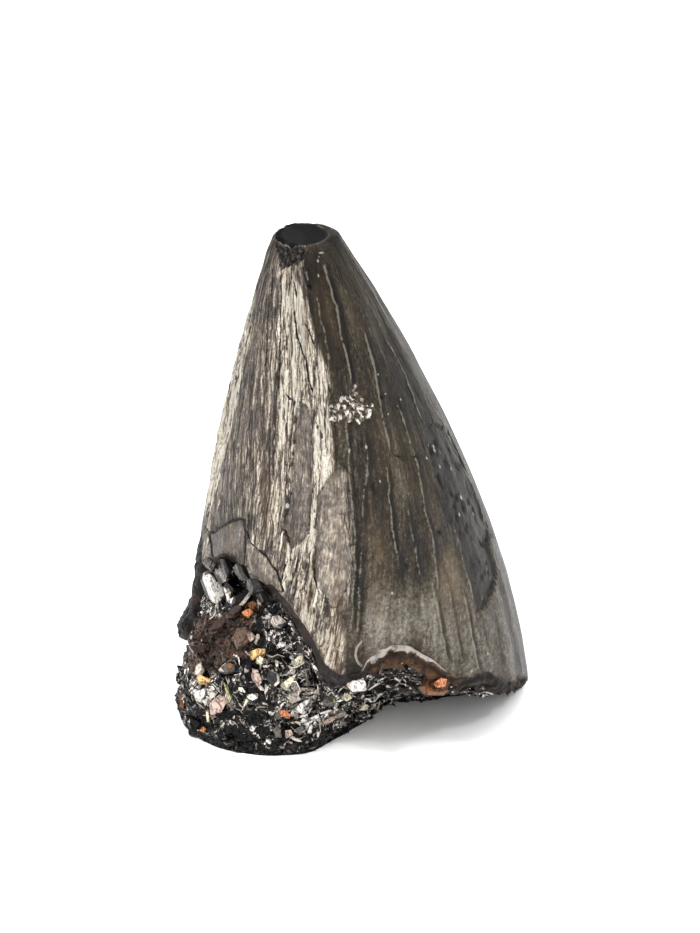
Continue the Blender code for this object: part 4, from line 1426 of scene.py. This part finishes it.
# The fragments that stand out in the stone, as seen from the front. Each has its place across
# and up from the middle of the view in mm, its colour, its rim's colour, its slope to the right
# and upwards, and its corners round its place in mm
fragments = (
    (-8.64, -8.02, "silver", "grey", 0.5, 0, ((-0.58, 1.23), (-0.13, 1.1), (0.39, 0.26), (0.78, -0.84),
        (0.58, -1.17), (0.13, -1.17), (-0.19, -0.71), (-0.52, 0.19), (-0.71, 0.71))),
    (-7.08, -8.6, "slate", "silver", 0.3, 0.6, ((-0.65, 0.13), (0.06, 0.32), (0.78, 0.45), (0.13, -0.39),
        (-0.58, -0.32))),
    (-7.92, -8.28, "silver", "grey", -0.4, 0.2, ((-0.26, 0.58), (-0.06, 0.52), (0.39, -0.52),
        (0.13, -0.65))),
    (-6.69, -8.54, "silver", "pale", 0.4, 0.3, ((-0.39, -0.39), (-0.19, -0.45), (0.39, 0.32),
        (0.26, 0.45))),
    (-7.53, -7.82, "black", "dark", 0.2, 0.8, ((-0.58, 0.19), (-0.13, 0.45), (0.65, -0.26), (0, -0.39))),
    (-7.79, -8.08, "cream", "lime", 0, 0.4, ((-0.19, 0.19), (0.06, 0.26), (0.26, -0.06), (0, -0.26),
        (-0.19, -0.06))),
    (-8.38, -6.66, "ash", "dark", 0.4, 0.5, ((-0.32, 0.39), (0.06, 0.71), (0.32, -0.26), (0.26, -0.65),
        (-0.06, -0.13))),
    (-9.22, -6.27, "grey", "ash", -0.3, 0.4, ((-0.39, 0.06), (0.06, 0.39), (0.45, 0), (0.19, -0.45),
        (-0.19, -0.26))),
    (-7.79, -6.33, "black", "slate", 0.4, 0.2, ((-0.58, 0.39), (0.32, 0.45), (0.39, -0.26),
        (-0.19, -0.65))),
    (-7.34, -6.46, "lime", "grey", 0, 0.3, ((-0.13, 0.13), (0.13, 0.19), (0.13, -0.19), (-0.06, -0.13))),
    (-6.75, -6.85, "dark", "slate", 0.5, 0.1, ((-0.52, 0.45), (0.19, 0.65), (0.52, -0.45), (0.06, -0.58),
        (-0.32, -0.06))),
    (-7.73, -7.31, "grey", "ash", 0.1, 0.6, ((-0.39, 0.06), (0.39, 0.19), (0.26, -0.06), (-0.19, -0.13))),
    (-8.9, -7.11, "dark", "grey", 0.6, 0.1, ((-0.26, 0.39), (0.26, 0.45), (0.58, -0.39), (0.19, -0.52))),
    (-6.23, -7.69, "dark", "slate", 0.2, 0.4, ((-0.45, 0.39), (0.19, 0.45), (0.58, -0.32), (-0.13, -0.45))),
    (-5.71, -8.28, "black", "dark", 0.3, 0.1, ((-0.39, 0.45), (0.19, 0.39), (0.52, -0.45), (0.06, -0.58))),
    (-5.84, -8.8, "pale", "ash", 0, 0.3, ((-0.19, 0.13), (0, 0.19), (0.19, 0.06), (0.13, -0.19),
        (-0.13, -0.19))),
    (-6.56, -9.45, "orange", "orange", 0.2, 0.3, ((-0.39, 0.06), (0, 0.26), (0.32, 0), (0.06, -0.32))),
    (-6.36, -8.99, "rust", "bark", 0, 0.2, ((-0.32, 0.13), (0.13, 0.32), (0.39, 0.06), (0.13, -0.32),
        (-0.19, -0.13))),
    (-7.27, -9.38, "bark", "umber", -0.3, 0.5, ((-0.84, -0.26), (-0.26, 0.32), (0.32, 0.52),
        (0.39, 0.13), (-0.19, -0.32))),
    (-8.31, -10.29, "bark", "umber", -0.4, 0.3, ((-0.91, -0.58), (-0.58, 0.13), (0.19, 0.58),
        (0.65, 0.52), (0.06, -0.26))),
    (-4.68, -9.97, "pale", "slate", 0.2, 0.4, ((-0.45, 0.26), (0, 0.32), (0.58, -0.13), (0.32, -0.32),
        (-0.19, -0.32), (-0.39, -0.06))),
    (-6.88, -11.01, "umber", "dark", 0.2, 0.2, ((-0.58, 0.65), (0.19, 0.78), (0.78, 0.58), (0.58, -0.06),
        (0.19, -0.52), (-0.45, -0.78), (-0.65, -0.19))),
    (-6.36, -10.94, "pink", "umber", 0.3, 0, ((-0.32, 0.13), (0, 0.26), (0.32, -0.06), (0, -0.39))),
    (-7.27, -11.27, "silver", "silver", 0, 0, ((-0.06, 0.13), (0.06, 0.13), (0.06, -0.06), (-0.06, -0.06))),
    (-5.97, -12.18, "gold", "umber", 0.2, 0.4, ((-0.52, 0.19), (-0.06, 0.39), (0.58, 0.32), (0.52, 0),
        (0.13, -0.06), (-0.32, -0.26))),
    (-5.84, -12.56, "cream", "gold", 0.1, 0.2, ((-0.26, 0.13), (0, 0.26), (0.26, 0.06), (0.19, -0.26),
        (-0.19, -0.26))),
    (-9.42, -13.86, "gold", "rust", -0.2, 0.3, ((-0.58, 0.19), (-0.26, 0.32), (0.58, 0), (0.45, -0.32),
        (0.13, -0.19), (-0.32, -0.32))),
    (-9.29, -14.06, "orange", "gold", 0, 0.2, ((-0.26, 0.06), (0, 0.19), (0.26, 0), (0, -0.19))),
    (-10.65, -14.58, "slate", "lime", -0.3, 0.2, ((-0.26, 0), (0.06, 0.32), (0.26, 0), (0, -0.39))),
    (-9.68, -14.84, "silver", "grey", -0.3, 0.3, ((-0.39, 0.26), (0.39, 0.45), (0.52, 0), (0, -0.45),
        (-0.39, -0.19))),
    (-8.57, -15.42, "pink", "dark", 0.3, 0.1, ((-0.39, 0.39), (0.32, 0.84), (0.58, 0.06), (0.19, -0.71),
        (-0.45, -0.71), (-0.52, -0.13))),
    (-8.9, -15.29, "silver", "pink", -0.1, 0.1, ((-0.19, 0.39), (0.19, 0.58), (0.19, -0.26),
        (-0.13, -0.52))),
    (-7.86, -15.16, "ash", "silver", 0.4, -0.2, ((-0.19, 0.58), (0.13, 0.45), (0.32, -0.19),
        (0.19, -0.65), (-0.19, -0.19))),
    (-9.22, -16.2, "cream", "lime", 0, 0, ((-0.13, 0.39), (0.06, 0.39), (0.13, -0.39), (-0.06, -0.39))),
    (-9.55, -17.05, "orange", "rust", 0, 0, ((-0.26, -0.06), (0.06, 0.26), (0.26, 0.06), (0.06, -0.19))),
    (-10.84, -15.36, "rust", "umber", -0.5, 0, ((-0.19, 0.45), (0.13, 0.52), (0.26, 0), (0.13, -0.52),
        (-0.13, -0.32))),
    (-3.9, -13.93, "cream", "ash", 0.2, 0.3, ((-0.52, -0.13), (0.06, 0.32), (0.52, 0.52), (0.26, 0),
        (-0.13, -0.52))),
    (-3.31, -12.56, "cream", "dark", -0.2, 0.4, ((-0.58, -0.32), (0.06, 0.32), (0.52, 0.39),
        (0.32, -0.06), (-0.13, -0.32))),
    (-4.68, -12.69, "cream", "dark", 0, 0.2, ((-0.13, 0.26), (0.13, 0.13), (0.13, -0.26), (-0.06, -0.19))),
    (-4.16, -16.01, "orange", "umber", 0.2, 0.1, ((-0.52, 0.19), (-0.13, 0.32), (0.39, -0.13),
        (0.26, -0.32), (-0.26, -0.13))),
    (-3.12, -15.42, "silver", "grey", 0.3, 0.2, ((-0.52, -0.32), (-0.13, 0.06), (0.65, 0.52),
        (0.45, 0.06), (-0.13, -0.52))),
    (-3.7, -14.97, "pale", "slate", 0, 0.4, ((-0.52, 0), (-0.13, 0.39), (0.45, 0.26), (0.52, -0.13),
        (0, -0.32))),
    (-2.34, -16.27, "silver", "grey", 0.2, 0.1, ((-0.39, -0.06), (0.26, 0.26), (0.32, 0), (0, -0.26))),
    (-4.68, -17.18, "grey", "dark", -0.1, 0.3, ((-0.32, 0.13), (0, 0.39), (0.32, 0.13), (0.26, -0.32),
        (-0.13, -0.32))),
    (-3.96, -17.31, "pink", "dark", 0.2, 0.2, ((-0.32, 0.19), (0.13, 0.26), (0.32, -0.13), (-0.13, -0.32))),
    (-3.25, -17.11, "grey", "ash", 0.1, 0.3, ((-0.39, 0.06), (0.13, 0.32), (0.39, 0), (0, -0.26))),
    (-6.04, -13.67, "pink", "dark", 0.3, 0.1, ((-0.32, 0.65), (0.06, 0.58), (0.39, -0.39), (0.19, -0.65),
        (-0.19, -0.13))),
    (-5, -13.8, "slate", "silver", -0.3, 0.2, ((-0.26, 0.65), (0.32, 0.39), (0.39, -0.19),
        (-0.06, -0.65), (-0.39, 0))),
    (-7.92, -13.08, "grey", "pale", 0.2, 0.4, ((-0.58, 0), (-0.19, 0.39), (0.39, 0.32), (0.52, -0.13),
        (0, -0.26))),
    (-7.86, -13.02, "rust", "umber", 0.1, 0.3, ((-0.26, 0.06), (0, 0.26), (0.26, 0.13), (0.13, -0.19),
        (-0.13, -0.19))),
    (-9.74, -13.08, "pale", "dark", -0.4, 0.2, ((-0.32, -0.52), (-0.19, 0.13), (0.19, 0.45),
        (0.32, -0.06), (0, -0.52))),
    (0.52, -14.12, "silver", "pink", 0.2, 0.3, ((-0.65, 0.06), (-0.26, 0.39), (0.32, 0.52), (0.58, 0),
        (0.52, -0.39), (-0.26, -0.45))),
    (-0.26, -14.9, "cream", "slate", 0, 0.2, ((-0.39, 0), (-0.13, 0.26), (0.26, 0.19), (0.39, -0.06),
        (0, -0.26))),
    (0.91, -15.62, "cream", "umber", 0.1, 0.2, ((-0.39, 0.06), (0, 0.26), (0.39, 0.06), (0.19, -0.19),
        (-0.19, -0.19))),
    (-0.97, -16.01, "ash", "lime", 0.1, 0.5, ((-0.78, 0), (-0.13, 0.19), (0.65, 0.19), (0.78, 0),
        (0, -0.19))),
    (-1.43, -15.16, "grey", "pale", 0.2, 0.3, ((-0.52, -0.13), (-0.13, 0.26), (0.45, 0.19),
        (0.39, -0.19), (-0.13, -0.32))),
    (-1.36, -16.4, "pink", "rust", 0.1, 0.3, ((-0.52, -0.19), (0.06, 0.13), (0.58, 0.26), (0.26, -0.06),
        (-0.19, -0.26))),
    (5.13, -14.06, "ash", "dark", 0.3, 0.2, ((-0.32, 0.32), (0.13, 0.45), (0.39, -0.06), (0.13, -0.52),
        (-0.26, -0.26))),
    (5.6, -14.15, "rust", "umber", 0.3, 0.2, ((-1.1, -0.1), (-0.7, 0.6), (0.1, 0.75), (0.9, 0.5),
        (1.15, -0.1), (0.5, -0.65), (-0.6, -0.6))),
    (5.9, -14, "orange", "rust", 0.2, 0.3, ((-0.4, 0.1), (0, 0.35), (0.45, 0.2), (0.3, -0.2),
        (-0.2, -0.25))),
    (-10, -11.5, "pink", "silver", -0.2, 0.3, ((-0.6, 0.2), (-0.1, 0.25), (0.5, 0.05), (0.4, -0.2),
        (-0.3, -0.1))),
    (-9.8, -11.85, "bark", "umber", -0.2, 0.1, ((-0.8, 0.2), (0, 0.3), (0.7, 0.3), (0.5, -0.3),
        (-0.4, -0.3))),
    (3.64, -14.51, "grey", "dark", 0, 0.3, ((-0.39, 0.06), (0.06, 0.19), (0.39, -0.13), (-0.06, -0.26))),
    (2.73, -14.12, "slate", "pale", 0.1, 0.4, ((-0.39, -0.06), (0, 0.26), (0.45, 0.06), (0.13, -0.19))),
)


# where points appear from the front: mm across and up on the plane through the view's middle,
# and how far off they are
def seenPlaces(points):
    towards = direction(0, studio["elevation"])
    upward = np.cross(towards, (1, 0, 0))
    off = points - (np.array(studio["target"]) + towards * studio["distance"]) / mm
    depth = -off @ towards
    nearer = studio["distance"] / mm / depth
    return off[..., 0] * nearer, (off @ upward) * nearer, depth


# How the fragments are set in the stone
standing = {
    "hidden": 0.17,  # how much worse a place is that faces away, in square mm
    "behind": 0.0034,  # and for each mm farther off
    "forward": 0.36,  # mm towards the viewer
    "thickness": 0.8,
}


# each fragment is set where the stone is seen at its place, facing the viewer but for its tilt
def makeFragments(points, normals):
    across, up, depth = seenPlaces(points)
    towards = direction(0, studio["elevation"])
    upward = np.cross(towards, (1, 0, 0))
    hidden = standing["hidden"] * (normals @ towards < 0.05)
    made = []
    for corners in sorted({len(row[6]) for row in fragments}):
        rows = [row for row in fragments if len(row[6]) == corners]
        middle = []
        for row in rows:
            away = (across - row[0])**2 + (up - row[1])**2
            nearest = np.argmin(away + hidden + standing["behind"] * (depth - depth.min()))
            middle.append(points[nearest])
        tilt = np.array([row[4:6] for row in rows])
        outline = np.array([row[6] for row in rows])
        ahead = -(outline * tilt[:, None]).sum(-1)
        count = len(rows)
        right = unit(np.array([(1.0, 0, 0)] * count) - towards * tilt[:, :1])
        top = unit(upward - towards * tilt[:, 1:])
        out = unit(np.cross(right, top))
        middle = np.array(middle) + towards * standing["forward"]
        flat = outline * np.sqrt(1 + tilt**2)[:, None]
        tones = toneOf([stoneNames.index(row[2]) for row in rows])
        rims = toneOf([stoneNames.index(row[3]) for row in rows])
        thickness = standing["thickness"] * (1 + np.abs(ahead).max(-1))
        made.append(flakes(f"fragments_{corners}", middle, right, top, out, flat, thickness,
                           np.zeros(count), tones, rims))
    return made


# the filling's mass: black glassy stone crumpled into flakes, some of them pale, with painted
# highlights along its folds, smooth and brown in places
massTones = (
    (0, (7, 6, 6)), (0.36, (11, 10, 10)), (0.46, (36, 34, 32)), (0.56, (80, 76, 72)),
    (0.68, (146, 139, 132)), (0.8, (206, 198, 190)), (0.92, (250, 246, 240)),
)


mass = {
    "gain": 0.85,
    "flakes": 0.30,  # how much each pattern adds to the tone
    "cells": 0.26,
    # the folds add painted highlights to the tone
    "folds": 0.40,
    "fineFolds": 0.24,
    "patches": 0.9,
    "silver": 0.36,
    "calm": -0.34,
    "level": 0.05,
    "specular": 0.13,
    "bump": 0.00020,  # metres
}
massColours = {
    "groove": (5, 4, 4),
    "umberDark": (26, 19, 16),
    "umber": (98, 74, 60, 0.8),  # with its own gain
    "lowDark": (9, 8, 8),
    "lowSpeckle": (60, 57, 56, 0.8),
}


# the mass's colours: flakes and cells each with their own tone, painted highlights on the crests
# where folded noise peaks, dark gaps, brown places and a darker speckled band near the ground
def massFinish():
    made = Finish("cavity_matrix")
    spot = made.spot()
    bent = made.bent(spot, 0.8, 2, 1.6)
    edge = made.cells(bent, 1.8, "DISTANCE_TO_EDGE")
    speck = made.noise(spot, 6, 3, 0.65)
    mask = made.noise(spot, 0.75, 2, 0.6)
    bands = made.math("PINGPONG", made.noise(bent, 0.8, 1.2, 0.5) * 4.6, 0.5)
    fine = made.math("PINGPONG", made.noise(bent, 1.7, 1.2, 0.5) * 4.0, 0.5)

    tone = made.attribute("flake") * mass["flakes"] + made.cells(bent, 1.8, "F1", "Color") * mass["cells"]
    # painted highlights on the fold crests
    tone += made.step(bands, 0.24, 0.47) * mass["folds"]
    tone += made.step(fine, 0.28, 0.47) * mass["fineFolds"]
    tone += (mask - 0.5) * mass["patches"]
    tone += made.attribute("silver") * mass["silver"] + made.attribute("calm") * mass["calm"]
    made.base = made.ramp(tone + mass["level"], tones(massTones, mass["gain"]))
    colours = {key: tint(*colour) for key, colour in massColours.items()}
    made.paint(made.step(edge, 0.10, 0.03), colours["groove"])
    made.paint(made.step(made.attribute("gap"), 0.08, 0.02), colours["groove"])
    umber = made.step(speck + bands * 0.5, 0.52, 0.85)
    umber = made.mix(umber, colours["umberDark"], colours["umber"])
    made.paint(made.step(made.attribute("brown") + mask * 0.5, 0.65, 0.85), umber)
    # a darker speckled band towards the bottom
    lowSpeckle = made.mix(made.step(speck, 0.52, 0.72), colours["lowDark"], colours["lowSpeckle"])
    made.paint(made.step(made.attribute("rise") + mask, 1.4, 0.8) * 0.9, lowSpeckle)
    rough = made.step(speck, 0.3, 0.7, 0.16, 0.36)
    return made.finished(rough, mass["specular"], bands + fine * 0.6, mass["bump"], 0.9)


bitLook = {
    "gain": 0.85,
    "streak": (24, 21, 19),
    "side": (10, 9, 8),
    "shade": 0.72,  # how strong the streaks are
    "specular": 0.13,
    "bump": 0.00008,  # metres
}


# the bits: each takes its colour and its rim's from its own numbers, with darker streaks on it, partly
# painted shade that makes them look folded
def stoneFinish():
    made = Finish("matrix_bits")
    stops = [(k / len(stoneTones), tint(*colour, bitLook["gain"])) for k, colour in enumerate(stoneTones)]
    spot = made.spot()
    speck = made.noise(spot, 8, 2, 0.6)
    drawn = made.noise(made.bent(spot, 0.9, 2, 1.2), (7, 7, 1.2), 1, 0.6)
    edge = made.attribute("edge")
    made.base = made.ramp(made.attribute("tone"), stops, "CONSTANT")
    shade = made.step(drawn * 0.75 + speck * 0.25, 0.56, 0.40, 0.0, bitLook["shade"])
    made.paint(shade, tint(*bitLook["streak"]))
    made.paint(made.step(edge + speck * 0.3, 0.42, 0.60), made.ramp(made.attribute("rim"), stops,
                                                                    "CONSTANT"))
    made.paint(made.step(edge, -0.2, -0.5), tint(*bitLook["side"]))
    rough = made.step(speck, 0.35, 0.65, 0.14, 0.32)
    return made.finished(rough, bitLook["specular"], drawn, bitLook["bump"], 0.7)


# plain pale floor, soft lights, and the camera at the photo's angle
studio = {
    "floor": 1.6,  # metres
    "floorDrop": 0.02,  # mm under the object
    "floorColours": (tint(250, 250, 250), tint(252, 252, 252)),
    "world": 0.70,
    "lens": 154.5,
    "elevation": 28,
    "distance": 0.26,
    "target": (-0.000186, -0.00035, 0.017494),
}

# each light: azimuth, elevation, distance in metres, size in metres, watts
lamps = {
    "key": (-78, 50, 0.5, 0.52, 2.1),
    "top": (10, 74, 0.5, 0.50, 1.6),
    "back": (128, 56, 0.6, 0.44, 1.5),
    "fill": (40, 40, 0.6, 0.50, 1.2),
    "glintLeft": (-30, 58, 0.5, 0.03, 0.55),
    "glintRight": (48, 52, 0.5, 0.03, 0.4),
}


# the direction from the object to an azimuth and elevation
def direction(azimuth, elevation):
    a, e = math.radians(azimuth), math.radians(elevation)
    return np.array([math.sin(a) * math.cos(e), -math.cos(a) * math.cos(e), math.sin(e)])


# the floor, the even world light, the lamps and the camera, both of these turned to the object
def makeStudio():
    half = studio["floor"]
    corners = np.array([(-half, -half), (half, -half), (half, half), (-half, half)]) / mm
    points = np.column_stack([corners, np.full(4, -studio["floorDrop"])])
    floor = meshObject("floor", points, [np.array([[0, 1, 2, 3]])], smooth=False)
    finish = Finish("pale_floor")
    grey = finish.noise(finish.spot(), 0.009, 2)
    finish.feed(finish.shader.inputs["Base Color"], finish.mix(grey, *studio["floorColours"]))
    finish.shader.inputs["Roughness"].default_value = 0.9
    finish.shader.inputs["Specular IOR Level"].default_value = 0.1
    floor.data.materials.append(finish.material)

    world = bpy.data.worlds.new("studio")
    world.use_nodes = True
    world.node_tree.nodes["Background"].inputs["Color"].default_value = (1, 1, 1, 1)
    world.node_tree.nodes["Background"].inputs["Strength"].default_value = studio["world"]
    bpy.context.scene.world = world

    middle = np.array(studio["target"])
    for name, (azimuth, elevation, distance, size, watts) in lamps.items():
        lamp = bpy.data.lights.new(name, "AREA")
        lamp.shape = "DISK"
        lamp.size = size
        lamp.energy = watts
        stand = bpy.data.objects.new(name, lamp)
        towards = direction(azimuth, elevation)
        stand.location = middle + towards * distance
        stand.rotation_euler = (math.radians(90 - elevation), 0, math.radians(azimuth))
        bpy.context.scene.collection.objects.link(stand)

    camera = bpy.data.cameras.new("camera")
    camera.lens = studio["lens"]
    camera.clip_start = 0.01
    camera.clip_end = 20
    holder = bpy.data.objects.new("camera", camera)
    holder.location = middle + direction(0, studio["elevation"]) * studio["distance"]
    holder.rotation_euler = (math.radians(90 - studio["elevation"]), 0, 0)
    bpy.context.scene.collection.objects.link(holder)
    bpy.context.scene.camera = holder
    bpy.context.scene.view_settings.view_transform = "Standard"


crownPiece, breakGrid, breakNormals = makeCrown()
crownPiece.data.materials.append(enamelFinish("fossil_enamel", 0.27))
crownPiece.data.materials.append(enamelFinish("broken_stone", 0.15))
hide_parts("tooth_crown")
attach(crownPiece, "root")
print("crown made,", len(crownPiece.data.polygons), "faces")

massPiece, slopeAzimuths, slopeGrid, slopeNormals = makeFilling()
massPiece.data.materials.append(massFinish())
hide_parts("cavity_matrix")
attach(massPiece, "root")
print("filling made,", len(massPiece.data.polygons), "faces")

bitsMaterial = stoneFinish()
bits = makeGrit(slopeAzimuths, slopeGrid, slopeNormals)
seen = [np.concatenate([a.reshape(-1, 3), b.reshape(-1, 3)]) for a, b in
        ((slopeGrid, breakGrid), (slopeNormals, breakNormals))]
bits = bits + makeFragments(*seen)
for piece in bits:
    piece.data.materials.append(bitsMaterial)
    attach(piece, "root")
print("bits made")

makeStudio()
print("studio made")
